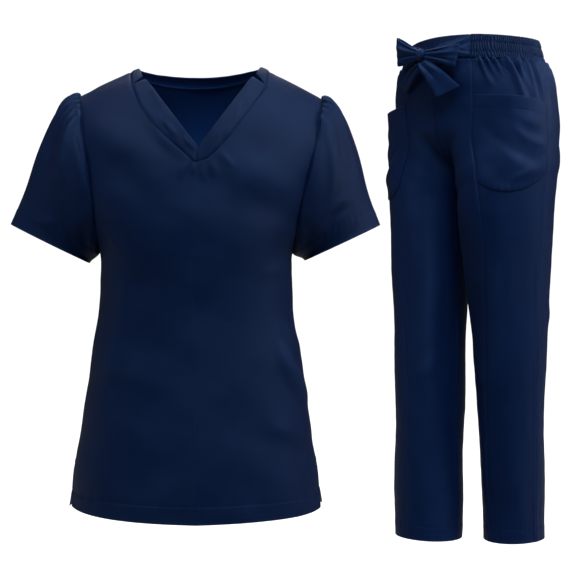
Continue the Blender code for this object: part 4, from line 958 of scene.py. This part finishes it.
# One leg with its half of the hips. A half ring of the hips at pi times the share and a whole ring of the leg at
# twice that are mixed: quickly at the middle seam, by a rounded crotch curve, and slowly elsewhere, down the thigh.
def legPoint(side, share, z):
    form, turn = trouserForm, pi * share
    depth = np.where(share < 0.5, readColumn(hipForm, "frontDepth", z), readColumn(hipForm, "backDepth", z))
    hip = np.stack([readColumn(hipForm, "halfWidth", z) * np.sin(turn), -depth * np.cos(turn), z], -1)
    legX = readColumn(legForm, "centreX", z) - readColumn(legForm, side + "HalfWidth", z) * np.cos(2 * turn)
    legY = readColumn(legForm, side + "Y", z) - readColumn(legForm, side + "HalfDepth", z) * np.sin(2 * turn)
    t = np.clip((z - form["crotch"]) / form["crotchCurve"], 0, 1)
    nearSeam = np.abs(np.cos(turn)) ** form["crotchNarrow"]
    curve = np.maximum(1 - (1 - t) ** 2, 0) ** (form["crotchPower"] + form["sidePower"] * (1 - nearSeam))
    mixed = (nearSeam * curve + (1 - nearSeam) * ramp(z, form["thighFrom"], form["thighTo"]))[..., None]
    point = mixed * hip + (1 - mixed) * np.stack([legX, legY, z], -1)
    dip = form["frontDip"] * (1 + np.cos(turn)) / 2 + form["sideDip"] * np.sin(turn) ** 2
    point[..., 2] -= dip * ramp(z, form["dipGone"], -form["bandHeight"])
    point[..., 0] *= signOf[side]
    return point


# The middle of a leg at each height, which its panels face away from.
def legMiddle(side, z):
    share = 1 - ramp(z, trouserForm["thighFrom"], trouserForm["thighTo"])
    x = share * readColumn(legForm, "centreX", z) * signOf[side]
    return np.stack([x, share * readColumn(legForm, side + "Y", z), z], -1)


# Heights of the rows, from the tuck under the band down over the hips, the rise and the thigh to the hem.
def panelRows():
    form = trouserForm
    hips, rise, thigh, leg = form["rows"]
    low = np.linspace(form["thighLine"], -form["length"], leg + 1)
    z = np.concatenate([form["tuck"] * np.array((1, 0.6, 0.25)) - form["bandHeight"],
                        np.linspace(-form["bandHeight"], form["hipLine"], hips + 1)[:-1],
                        form["hipLine"] + (form["crotch"] - form["hipLine"]) * np.sin(pi / 2 * np.arange(rise) / rise),
                        np.linspace(form["crotch"], form["thighLine"], thigh + 1)[:-1], low])
    last = len(z) - 1
    return np.interp(fineSteps(last, (3, last - form["hem"] / (low[0] - low[1]), last)), np.arange(last + 1), z)


# Folds that fan down from the elastic. Each row: share round the waist, share where it ends, height where it ends,
# half width, height of the fold. The small gathers between them are added by rule.
hipFans = {
    "left": milli((
        (226, 240, -100, 5, 6.2), (256, 264, -78, 4.4, 4), (286, 306, -82, 5, 5.6), (345, 386, -150, 7.5, 7.8),
        (404, 384, -96, 5.2, 5.6), (448, 440, -130, 5.4, 5), (492, 486, -150, 6, 5.8), (545, 560, -125, 7.5, 5),
        (610, 640, -110, 7, 4.8), (670, 700, -135, 8, 5.4), (735, 755, -105, 6.5, 4.4), (800, 830, -125, 7.5, 5),
        (870, 890, -100, 6.5, 4.4), (940, 950, -120, 7, 4.6))),
    "right": milli((
        (230, 250, -90, 6, 4.2), (290, 300, -105, 6.5, 4.6), (350, 372, -120, 8, 6), (408, 400, -92, 6, 4.6),
        (455, 452, -135, 6.5, 5), (498, 500, -110, 7, 4.8), (555, 580, -130, 8, 5.2), (622, 640, -100, 6.5, 4.6),
        (682, 715, -140, 8, 5.6), (748, 760, -110, 7, 4.4), (812, 845, -120, 7.5, 5), (880, 895, -105, 6.5, 4.4),
        (945, 948, -115, 7, 4.6))),
}
# Longer folds of the legs: from share, from height, to share, to height, bow, half width, height of the fold.
legFolds = {
    "left": milli((
        (190, -52, 80, -135, 6, 9, 2.8), (165, -70, 60, -150, 6, 8, -2), (10, -90, 60, -190, 10, 9, 1.8),
        (-10, -290, 130, -140, 4, 26, 6), (50, -290, 190, -215, 10, 16, 2.4), (60, -300, 240, -262, 10, 13, -1.8),
        (150, -300, 165, -620, 10, 18, 3.4), (345, -300, 310, -760, 6, 22, 3), (250, -330, 235, -560, 4, 16, -1.8),
        (420, -310, 400, -600, -6, 18, -2), (120, -560, 190, -640, 6, 13, 1.8), (80, -640, 300, -600, 10, 15, 1.4),
        (200, -700, 180, -925, 0, 16, 1.8), (380, -740, 400, -925, 0, 17, 1.8), (560, -180, 700, -262, 10, 12, 3),
        (620, -210, 860, -285, 12, 12, -2.4), (700, -240, 960, -282, 8, 11, 3.2),
        (660, -320, 640, -680, 8, 20, 3.2), (820, -330, 800, -640, -6, 18, 2.4),
        (560, -480, 760, -545, 10, 13, 2.4), (600, -540, 840, -585, 10, 12, -1.8),
        (700, -740, 690, -925, 0, 18, 1.8), (960, -340, 940, -700, 0, 18, 2))),
    "right": milli((
        (188, -52, 70, -120, -6, 9, 2.6), (-10, -290, 130, -140, 4, 28, 7), (50, -290, 180, -222, 10, 16, 2.2),
        (140, -290, 150, -700, 8, 19, 3), (340, -290, 320, -720, -6, 21, 2.8), (240, -320, 250, -580, 0, 16, -1.8),
        (100, -570, 200, -640, 6, 14, 1.8), (200, -710, 190, -925, 0, 17, 1.8), (400, -720, 390, -925, 0, 17, 1.8),
        (570, -175, 720, -265, 10, 12, 3), (640, -215, 880, -284, 12, 12, -2.4), (700, -236, 960, -284, 8, 11, 3),
        (650, -330, 650, -700, -8, 20, 3), (830, -340, 800, -620, 6, 18, 2.4), (580, -490, 780, -540, 10, 13, 2.4),
        (610, -545, 830, -590, 10, 12, -1.8), (690, -750, 700, -925, 0, 18, 1.8), (950, -350, 930, -690, 0, 18, 1.8))),
}
fanLook = {"wide": 0.66, "opening": 1.3, "rise": 2.1, "trough": 0.5, "troughAt": 1.6, "troughWide": 0.9,
           "fade": 1.2, "topShare": 0.6}
gatherLook = {"pitch": 0.0078, "rise": 0.0024, "from": 0.001, "to": 0.021}
legUneven = {"seed": {"left": 31, "right": 37}, "broad": (0.16, 0.0011), "fine": (0.035, 0.00018)}


# All the folds of one leg, from the share round it and the height: fans, each a ridge with a trough beside it, that
# open and fade downwards, and under the elastic a wave that dies away within two centimetres, at a wandering pitch.
def legHeight(side, share, z):
    per, top = trouserForm["perShare"], -trouserForm["bandHeight"]
    u, total = share * per, np.zeros(np.broadcast(share, z).shape)
    for fromShare, toShare, end, half, rise in hipFans[side]:
        t = np.clip((top - z) / (top - end), 0, 1)
        off = u - (fromShare + (toShare - fromShare) * t) * per
        fade = (1 - t) ** fanLook["fade"] * (fanLook["topShare"] + (1 - fanLook["topShare"]) * ramp(t, 0, 0.2))
        wide = fanLook["wide"] * half * (1 + fanLook["opening"] * t)
        trough = fanLook["trough"] * bump(off - fanLook["troughAt"] * wide, fanLook["troughWide"] * wide)
        total += rise * fanLook["rise"] * fade * (bump(off, wide) - trough)
    gathered = ramp(share, trouserForm["bandShare"] - 0.01, trouserForm["bandShare"] + 0.03)
    gathered = gathered * (1 - ramp(top - z, gatherLook["from"], gatherLook["to"])) * (0.7 + 0.3 * np.sin(u * 83))
    wave = np.sin(2 * pi * u / gatherLook["pitch"] + 1.5 * np.sin(u * 47) + 0.9 * np.sin(u * 131 + 1))
    total += gatherLook["rise"] * gathered * (wave + 0.9)
    total += foldHeights(legFolds[side] * (per, 1, per, 1, 1, 1, 1), u, z)
    seed, calm = legUneven["seed"][side], 1 - ramp(z, -0.20, -0.06) * 0.5
    return total + uneven(u, z, *legUneven["broad"], seed) * calm + uneven(u, z, *legUneven["fine"], seed + 1)


# Where the seams run, as shares: the middle of the front, the long front seam, the side seam and the middle behind.
def seamShare(kind, z):
    return readColumn(frontSeam, "share", z) if kind == "front" else {"centre": 0, "side": 0.5, "back": 1}[kind] + 0 * z


# Each panel: the seams it lies between, its columns, the column that the weave is straight along, and its
# topstitching, as an edge and the distance from it.
legPanels = {
    "front": ("centre", "front", 34, -1, (("firstCol", 0.0025),)),
    "side": ("front", "side", 58, None, (("firstCol", 0.0028), ("lastCol", 0.0030), ("lastCol", 0.0085))),
    "back": ("side", "back", 84, 0, ())}
seamStrength = {"centre": 0.35, "front": 0.6, "side": 0.6, "back": 0.35, "band": 0.8}


# A panel between two seams: the leg's form there, raised along its normals by folds, seams and the hem.
def makeLegPanel(kind, side):
    form, (fromSeam, toSeam, columns, straight, topstitched) = trouserForm, legPanels[kind]
    z, u, top = panelRows()[:, None], fineShares(columns)[None], -form["bandHeight"]
    share = seamShare(fromSeam, z) * (1 - u) + seamShare(toSeam, z) * u
    z = np.broadcast_to(z, share.shape)
    base, middle = legPoint(side, share, z), legMiddle(side, z)
    toFirst, toLast, toHem = fromEdges(base, "firstCol", "lastCol", "lastRow")
    calm = form["calmAtSeam"] * bump(np.minimum(toFirst, toLast), form["calmHalf"]) * (z < form["calmFrom"])
    height = legHeight(side, share, z) * (1 - calm) + hemHeight(toHem, share * form["perShare"], form["hem"])
    for distance, seam in ((toFirst, fromSeam), (toLast, toSeam), (np.abs(z - top), "band")):
        height += seamHeight(distance, seamStrength[seam])
    height = np.where(height < 0, height * ramp(top - z, -mm, 12 * mm), height)
    height -= (height + form["tuckDrop"]) * ramp(z, top, top + 0.7 * form["tuck"])
    grid = base + normalsFrom(base, middle) * height[..., None]
    makePiece("trousers" + kind.capitalize() + side.capitalize(), "trousers_" + kind + "_" + side, "trouserCloth",
              form["thick"], [grid], [normalsFrom(grid, middle)], [wornMask(height, toFirst, toLast, toHem)],
              beside=(("lastRow", form["hemStitch"]),) + topstitched, turned=True, fromColumn=straight)


for side in sides:
    for kind in legPanels:
        makeLegPanel(kind, side)
print("trouser panels made")


# The waistband.
bandForm = {
    "ruches": 140, "rise": 0.0046, "rows": (-0.014, -0.0315), "columns": 960, "thick": 0.0020, "frontColumns": 90,
    "frontRows": 20, "stitchPinch": 0.0005, "stitchHalf": 0.0011, "endPinch": 0.001, "endHalf": 0.0016,
    "flatLevel": 0.42, "rucheRound": 0.75, "swellRound": 0.6, "topRound": 0.0005, "wave": 0.0003, "stitch": 0.0022,
    "down": (0, -0.0006, -0.002, -0.004, -0.0065, -0.009, -0.0115, -0.013, -0.014, -0.015, -0.017, -0.0195,
             -0.0225, -0.0255, -0.0285, -0.0305, -0.0315, -0.0325, -0.034, -0.0365, -0.039, -0.041, -0.0424, -0.043),
}


# Round the waist: share 0 in front and 1 behind, rising on the left, below zero or past one on the right.
def waistPoint(share, z, rise):
    wrapped = np.mod(share + 1, 2) - 1
    left, right = (legPoint(side, np.abs(wrapped), z) for side in sides)
    points = np.where((wrapped >= 0)[..., None], left, right)
    outward = unit(points * (trouserForm["halfWidth"] ** -2, trouserForm["halfDepth"] ** -2, 0))
    return points + outward * np.asarray(rise)[..., None]


# The elastic: three channels of ruches, each ruche a rounded ridge, pinched at both edges and at the two stitch
# rows. The ridges wander, lean a little and change places from channel to channel.
def makeElastic():
    form, start, (first, second) = bandForm, trouserForm["bandShare"], bandForm["rows"]
    share, z = np.linspace(start, 2 - start, form["columns"] + 1)[None], np.array(form["down"])[:, None]
    channel = np.where(z > first, 0, np.where(z > second, 1, 2))
    ends = np.array((0, first, second, -trouserForm["bandHeight"]))
    t = (z - ends[channel]) / (ends[channel + 1] - ends[channel])
    swell = np.sin(pi * np.clip(t, 0, 1)) ** form["swellRound"]
    run = (share - start) / (2 - 2 * start)
    phase = form["ruches"] * run + 0.40 * np.sin(run * 61) + 0.22 * np.sin(run * 143 + channel) + channel * 0.37
    phase = phase + 0.25 * t * np.sin(run * 37 + channel * 2)
    size = 0.86 + 0.14 * np.sin(run * 197 + 2.1 * channel) * np.cos(run * 71 + channel)
    ruche, flat = size * np.abs(np.sin(pi * phase)) ** form["rucheRound"], form["flatLevel"]
    rise = trouserForm["bandRise"] + form["rise"] * (flat + (0.55 + 0.45 * swell) * (ruche - flat))
    rise = rise - form["stitchPinch"] * (bump(z - first, form["stitchHalf"]) + bump(z - second, form["stitchHalf"]))
    rise = rise - form["endPinch"] * bump(np.minimum(run, 1 - run) * 0.6, form["endHalf"])
    share, z, rise = np.broadcast_arrays(share, z, rise)
    grid, smooth, middle = waistPoint(share, z, rise), waistPoint(share, z, 0 * z), np.stack([0 * z, 0 * z, z], -1)
    grown = normalsFrom(grid, middle)
    lines = [(grid[row], grown[row]) for row in (form["down"].index(z) for z in form["rows"])]
    # Its ruche crests are made paler: a painted highlight.
    makePiece("waistbandBack", "waistband_back", "waistbandCloth", form["thick"], [grid],
              [normalsFrom(smooth, middle)], [ruche ** 2 * (0.5 + 0.5 * swell)], lines, turned=True)


# The smooth part in front, sewn to the elastic at both ends, with topstitching on all four sides.
def makeFlatBand():
    form = bandForm
    share = ((2 * fineShares(form["frontColumns"]) - 1) * trouserForm["bandShare"])[None]
    z = -np.linspace(0, trouserForm["bandHeight"], form["frontRows"] + 1)[:, None]
    share, z = np.broadcast_arrays(share, z)
    base, middle = waistPoint(share, z, 0 * z + trouserForm["bandRise"]), np.stack([0 * z, 0 * z, z], -1)
    toLeft, toRight, toTop, toFoot = fromEdges(base, "firstCol", "lastCol", "firstRow", "lastRow")
    toEdge = np.minimum(toLeft, toRight)
    height = seamHeight(toEdge) - form["topRound"] * bump(toTop, 2 * mm) + 0.7 * seamHeight(toFoot)
    height += form["wave"] * np.sin(share * 210 + z * 60) * bump(z + 0.02, 0.016)
    height += uneven(share * 0.4, z, *unevenness["band"])
    grid = base + normalsFrom(base, middle) * height[..., None]
    makePiece("waistbandFront", "waistband_front", "waistbandCloth", form["thick"], [grid],
              [normalsFrom(grid, middle)], [edgeMask(toEdge, toTop, toFoot)],
              beside=[(edge, form["stitch"]) for edge in ("firstRow", "lastRow", "firstCol", "lastCol")], turned=True)


makeElastic()
makeFlatBand()
print("waistband made")


# The pockets.
pocketForm = {
    "frontTop": -0.112, "sideTop": -0.127, "foot": -0.269, "footRise": 0.016, "sag": 0.032, "stand": 0.013,
    "clear": 0.0022, "rows": 46, "columns": 50, "inset": 0.012, "thick": 0.0011, "hem": 0.022, "width": 0.14,
    "height": 0.16, "round": 0.6, "belly": 1.5, "fade": 1.6, "edgeRound": 0.0009, "edgeHalf": 0.0022,
    "pucker": 0.0004, "puckerPitch": 0.011, "hemStitch": 0.021, "edgeStitch": 0.003, "footStitch": 0.0085,
}
# Folds over a pocket: from share across, from share down, to across, to down, bow, half width, height.
pocketFolds = {
    "left": milli((
        (420, 260, 1040, 600, -10, 10, 3.4), (120, 300, 1020, 800, -12, 11, -2.6),
        (220, 400, 1040, 940, -10, 12, 2.8), (450, 900, 850, 840, 4, 8, 2.2), (300, 120, 950, 300, -8, 11, 1.8))),
    "right": milli((
        (400, 340, 1000, 620, -10, 9, 3.4), (150, 400, 1000, 820, -12, 9, -2.8), (200, 520, 950, 960, -10, 9, 2.8),
        (300, 140, 900, 280, -8, 11, 1.8))),
}


# A patch pocket: the side panel's own cloth, moved out. Its mouth stands away by a bell across and fading downwards,
# its foot is a deep curve, and its sides stop just inside the seams.
def makePocket(side):
    form, wide, high = pocketForm, pocketForm["width"], pocketForm["height"]
    across = form["inset"] + (1 - 2 * form["inset"]) * fineShares(form["columns"])[None]
    down = fineShares(form["rows"], form["rows"] * form["hem"] / high)[:, None]
    top = form["frontTop"] + (form["sideTop"] - form["frontTop"]) * across
    foot = form["foot"] + form["footRise"] * across - form["sag"] * np.sin(pi * across) ** form["round"]
    z = top + (foot - top) * down
    across, down = np.broadcast_arrays(across, down)
    share = seamShare("front", z) * (1 - across) + 0.5 * across
    base, middle = legPoint(side, share, z), legMiddle(side, z)
    stand = form["stand"] * np.sin(pi * across) ** form["belly"] * (1 - down) ** form["fade"]
    under = np.maximum(legHeight(side, share, z), 0) * (1 - ramp(stand, mm, 6 * mm)) + form["clear"]
    start = base + normalsFrom(base, middle) * (under + stand)[..., None]
    toMouth, toFoot, toFirst, toLast = fromEdges(start, "firstRow", "lastRow", "firstCol", "lastCol")
    toEdge, u, v = np.minimum(toFirst, toLast), across * wide, down * high
    near = np.minimum(toEdge, toFoot)
    height = foldHeights(pocketFolds[side] * (wide, high, wide, high, 1, 1, 1), u, v)
    height = (height + uneven(u, v, *unevenness["pocket"])) * ramp(near, 2 * mm, 16 * mm)
    height += hemHeight(toMouth, u, form["hem"], 0.35)
    height -= form["edgeRound"] * bump(near, form["edgeHalf"])
    puckers = np.sin(2 * pi * u / form["puckerPitch"] + 2 * np.sin(across * 9)) * bump(toFoot - 6 * mm, 6 * mm)
    grid = start + normalsFrom(base, middle) * (height + form["pucker"] * puckers)[..., None]
    makePiece("pocket" + side.capitalize(), "pocket_" + side, "trouserCloth", form["thick"], [grid],
              [normalsFrom(grid, middle)], [wornMask(height, toMouth, toFoot, toEdge)],
              beside=[(edge, form[gap]) for edge, gap in
                      (("firstRow", "hemStitch"), ("firstCol", "edgeStitch"), ("lastCol", "edgeStitch"),
                       ("lastRow", "edgeStitch"), ("lastRow", "footStitch"))], turned=True)


for side in sides:
    makePocket(side)
print("pockets made")


# The tie: two straps sewn over the waistband, a knot, two loops and two free tails.
tieForm = {
    "strapHalf": 0.02, "strapEndHalf": 0.0075, "strapDrop": 0.006, "strapInset": 0.003, "strapSteps": 6,
    "strapRises": (0.002, 0.0022, 0.0027, 0.0036, 0.0052),
    "strapEnd": ((0.017, -0.1235, -0.0405), (0.0052, -0.1296, -0.043)),
    "knotAt": (-0.002, -0.138, -0.0405), "knotHalf": (0.0112, 0.0092, 0.0104), "knotSize": 0.93, "knotThick": 0.0014,
    "knotWraps": 0.075, "knotLean": 0.05, "knotPole": 0.08,
    "loopTip": {"left": (0.07, -0.122, -0.0505), "right": (-0.0775, -0.119, -0.0225)},
    "loopHalf": {"left": 0.019, "right": 0.0264}, "loopTilt": {"left": 0.3, "right": -0.05},
    "loopRoot": 0.009, "loopRootHalf": 0.0075, "loopOpen": 0.0095, "loopRootOpen": 0.003, "loopFullness": 0.8,
    "tail": {
        "left": ((0.002, -0.14, -0.0545, 0.01), (0.01, -0.14, -0.063, 0.0125), (0.022, -0.137, -0.075, 0.0155),
                 (0.0355, -0.131, -0.0925, 0.019), (0.05, -0.124, -0.113, 0.0225)),
        "right": ((-0.002, -0.1345, -0.0553, 0.0065), (-0.015, -0.134, -0.062, 0.009),
                  (-0.034, -0.129, -0.0715, 0.0115), (-0.056, -0.12, -0.0825, 0.0135),
                  (-0.078, -0.1085, -0.093, 0.015))},
    "tailAcross": {"left": (0.84, 0.3, 0.34), "right": (0.85, -0.1, -0.5)},
    "columns": 32, "rows": {"strap": 70, "loop": 160, "tail": 80}, "thick": 0.0016, "stitch": 0.0016, "creased": 1.5,
    "fadeFrom": 0.12, "fadeRun": 0.83, "edgeRound": 0.0006, "edgeHalf": 0.10, "length": 0.09, "half": 0.02,
    # Painted light: the tie is made paler all over and more on raised creases, and the knot paler all over.
    "worn": 0.35, "wornByHeight": 250, "knotPaintedLight": 0.5, "loopMiddle": 0.55,
}
# Creases of the tie's parts, along t (0 to 1) and across v (-1 to 1): from v, to v, from t, to t, half width in v,
# height.
tieCreases = {
    "strap": (
        (0.75, 0.1, 0, 1, 0.16, 0.0013), (-0.8, -0.15, 0, 1, 0.15, 0.0012), (0.35, -0.35, 0, 0.8, 0.12, -0.0009),
        (-0.3, 0.4, 0.05, 0.95, 0.13, 0.001), (0, 0, 0.45, 1, 0.2, 0.0012)),
    "loop": (
        (0.15, 0.4, 0, 0.36, 0.22, 0.0017), (-0.3, -0.55, 0, 0.3, 0.18, -0.0015),
        (0.6, 0.8, 0, 0.24, 0.14, -0.0013), (-0.65, -0.8, 0, 0.26, 0.15, 0.0012), (0.3, 0.5, 0.66, 1, 0.2, 0.0012),
        (-0.3, -0.5, 0.7, 1, 0.2, 0.0012)),
    "tail": (
        (0.35, 0.6, 0, 0.7, 0.2, 0.0015), (-0.35, -0.15, 0, 0.8, 0.2, -0.0014), (-0.75, -0.8, 0, 0.6, 0.14, 0.001)),
}


# Creases of a tie's part, each a ridge or a trough that rises and fades along its own run as part of a half sine.
def tieHeight(kind, t, v):
    total = np.zeros(np.broadcast(t, v).shape)
    for fromV, toV, fromT, toT, half, rise in tieCreases[kind]:
        s = np.clip((t - fromT) / (toT - fromT), 0, 1)
        wide = half * (foldLook["startWidth"] + foldLook["widening"] * s)
        fade = np.sin(pi * (tieForm["fadeFrom"] + tieForm["fadeRun"] * s))
        total += rise * tieForm["creased"] * fade * bump(v - (fromV + (toV - fromV) * s), wide)
    return total


# A smooth route through a few stations, by cubics with slopes from the neighbours; every column goes the same way.
def smoothRoute(stations, t):
    stations = np.array(stations)
    count, wide = stations.shape
    table = {"columns": range(wide + 1), "rows": np.column_stack([np.linspace(0, 1, count), stations])}
    return np.stack([readColumn(table, k + 1, t) for k in range(wide)], -1)


# A flat tie: its middle follows a route, its width runs along given vectors, and its face is creased along its length.
def makeTie(name, kind, middle, across, node, outwards, stitched):
    form, t = tieForm, np.linspace(0, 1, len(middle))[:, None]
    v = np.sin(pi / 2 * np.linspace(-1, 1, form["columns"] + 1))[None]
    base = middle[:, None] + v[..., None] * across[:, None]
    height = tieHeight(kind, t, v) - form["edgeRound"] * bump(1 - np.abs(v), form["edgeHalf"])
    height += uneven(t * form["length"], v * form["half"], *unevenness["tie"], len(name))
    grid = base + normalsFrom(base, outwards) * height[..., None]
    grown = normalsFrom(grid, outwards)
    # Painted light: paler all over and more on raised creases; abraded edges paler too.
    worn = form["worn"] + form["wornByHeight"] * height
    worn = np.maximum(edgeMask(*fromEdges(grid, "firstCol", "lastCol")), worn)
    makePiece(name, node, "tieCloth", form["thick"], [grid + grown * form["thick"] / 2], [grown], [worn],
              beside=[(edge, form["stitch"]) for edge in stitched], turned=True)


# A strap lies on the band, a little further out at each step, and then lifts off towards the knot.
def makeStrap(side):
    form, sign, count = tieForm, signOf[side], len(tieForm["strapRises"])
    shares = trouserForm["bandShare"] * (1 - np.arange(count) / form["strapSteps"])
    shares[0] -= form["strapInset"]
    down = -trouserForm["bandHeight"] / 2 - np.linspace(0, form["strapDrop"], count)
    halves = np.linspace(form["strapHalf"], form["strapEndHalf"], count + 2)
    onBand, upper, lower = (waistPoint(sign * shares, down + shift, np.array(form["strapRises"]))
                            for shift in (0, halves[:count], -halves[:count]))
    upright = np.stack([0 * halves[count:], 0 * halves[count:], halves[count:]], -1)
    t = np.linspace(0, 1, form["rows"]["strap"] + 1)
    middle = smoothRoute(np.concatenate([onBand, np.array(form["strapEnd"]) * (sign, 1, 1)]), t)
    across = smoothRoute(np.concatenate([(upper - lower) / 2, upright]), t)
    makeTie("strap" + side.capitalize(), "strap", middle, across, "tie_" + side, (0, 0, -0.03),
            ("firstCol", "lastCol", "firstRow"))


# A loop runs out from the knot in front, round its tip and back behind; its distance out goes as sin(pi t) to a
# power, and its width opens the same way.
def makeLoop(side):
    form, t = tieForm, np.linspace(0, 1, tieForm["rows"]["loop"] + 1)
    knot, tip = np.array(form["knotAt"]), np.array(form["loopTip"][side])
    way, far, swing = unit(tip - knot), np.linalg.norm(tip - knot), np.sin(pi * t)[:, None]
    reach = form["loopRoot"] + (far - form["loopRoot"]) * swing ** form["loopFullness"]
    opened = np.cos(pi * t)[:, None] * (form["loopRootOpen"] + form["loopOpen"] * swing)
    middle = knot + way * reach + unit(np.cross(way, (0, 0, 1))) * signOf[side] * opened
    half = form["loopRootHalf"] + (form["loopHalf"][side] - form["loopRootHalf"]) * swing[:, 0]
    across = np.stack([form["loopTilt"][side] * half * swing[:, 0], 0 * half, half], -1)
    makeTie("bowLoop" + side.capitalize(), "loop", middle, across, "bow_loop_" + side,
            knot + way * form["loopMiddle"] * far, ("firstCol", "lastCol"))


# A tail follows its route, and its width grows along it.
def makeTail(side):
    route = smoothRoute(tieForm["tail"][side], np.linspace(0, 1, tieForm["rows"]["tail"] + 1))
    across = unit(np.array(tieForm["tailAcross"][side]))[None] * route[:, 3:]
    makeTie("bowTail" + side.capitalize(), "tail", route[:, :3], across, "bow_tail_" + side, (0, 0, -0.05),
            ("firstCol", "lastCol", "lastRow"))


# The knot: a ball drawn out upwards, with the folds of the strap wrapped round it as leaning ridges.
def makeKnot():
    form, end = tieForm, pi / 2 - tieForm["knotPole"]
    turn, rise = np.linspace(0, 2 * pi, 73)[None, :-1], np.linspace(-end, end, 41)[:, None]
    wraps = form["knotWraps"] * np.abs(np.sin(2.5 * turn + 1.1 * np.sin(rise))) ** 0.6
    radius = form["knotSize"] + wraps + form["knotLean"] * np.sin(3 * rise + 2 * np.sin(turn))
    ball = np.stack([np.cos(rise) * np.cos(turn), np.cos(rise) * np.sin(turn), np.sin(rise) + 0 * turn], -1)
    grid = ball * radius[..., None] * form["knotHalf"] + np.array(form["knotAt"])
    # Its cloth is made paler all over: painted light.
    makePiece("bowKnot", "bow_knot", "tieCloth", form["knotThick"], [grid],
              [normalsFrom(grid, form["knotAt"], closed=True)], [form["knotPaintedLight"] + 0 * radius],
              turned=True, closed=True)


for make in (makeStrap, makeLoop, makeTail):
    for side in sides:
        make(side)
makeKnot()
print("tie made")


# Floor, light and camera.
studio = {
    "floorHeight": -0.9, "floorHalf": 30.0, "floorColour": (0.22, 0.22, 0.22, 1), "floorRoughness": 0.9,
    "world": (1.0, 1.0, 1.0, 1), "worldStrength": 0.03, "softStrength": 0.42, "seenStrength": 1.05,
}
# Each light: where it stands, where it points, its size and its power.
lights = {
    "keyLight": ((2.4, -0.5, 1.6), (0.3, 0.1, 0), 0.8, 54),
    "sideLight": ((2.6, 0.3, 1.1), (0.3, 0.1, -0.1), 0.8, 10),
    "lowLight": ((2.6, -0.9, 0.4), (0.2, 0.1, -0.2), 0.8, 27),
    "topLight": ((-0.3, -0.2, 2.6), (0.1, 0, -0.1), 1.0, 44),
    "frontLight": ((0.3, -1.8, 2.3), (0.1, 0, -0.1), 1.5, 130),
    "farLight": ((-3.0, -0.9, 0.5), (0.3, 0.2, -0.3), 1.4, 26),
    "backLight": ((0.2, 2.4, 2.8), (0.3, 0.1, -0.3), 1.6, 36),
}
view = {"at": (0.0, -1.85, -0.335), "turn": (radians(90), 0.0, radians(-4.035)), "lens": 1191 / 573 * 36}


def makeFloor():
    half, z = studio["floorHalf"], studio["floorHeight"]
    mesh = bpy.data.meshes.new("floor")
    mesh.from_pydata([(-half, -half, z), (half, -half, z), (half, half, z), (-half, half, z)], [], [(0, 1, 2, 3)])
    material, tree, shader = newMaterial("paleFloor")
    setInputs(tree, shader, {
        "Base Color": studio["floorColour"], "Roughness": studio["floorRoughness"], "Specular IOR Level": 0.0,
        "Emission Strength": addNode(tree, "LightPath").outputs["Is Camera Ray"], "Emission Color": (1, 1, 1, 1)})
    mesh.materials.append(material)
    addObject("floor", mesh)


def makeLights():
    for name, (at, towards, size, power) in lights.items():
        light = bpy.data.lights.new(name, "AREA")
        light.size, light.energy = size, power
        lamp = addObject(name, light)
        lamp.location = at
        lamp.rotation_euler = (Vector(towards) - Vector(at)).to_track_quat("-Z", "Y").to_euler()
    world = bpy.data.worlds.new("studioAir")
    bpy.context.scene.world = world
    world.use_nodes = True
    tree = world.node_tree
    seen = addNode(tree, "LightPath").outputs
    soft = mathNode(tree, "MULTIPLY_ADD", seen["Is Diffuse Ray"], studio["softStrength"], studio["worldStrength"])
    strength = mathNode(tree, "MULTIPLY_ADD", seen["Is Camera Ray"], studio["seenStrength"], soft)
    setInputs(tree, tree.nodes["Background"], {"Color": studio["world"], "Strength": strength})


def makeCamera():
    data = bpy.data.cameras.new("camera")
    data.lens, data.sensor_width = view["lens"], 36
    camera = addObject("camera", data)
    camera.location, camera.rotation_euler = view["at"], view["turn"]
    bpy.context.scene.camera = camera


makeFloor()
makeLights()
makeCamera()
bpy.context.scene.view_settings.view_transform = "Standard"
print("floor, light and camera made")
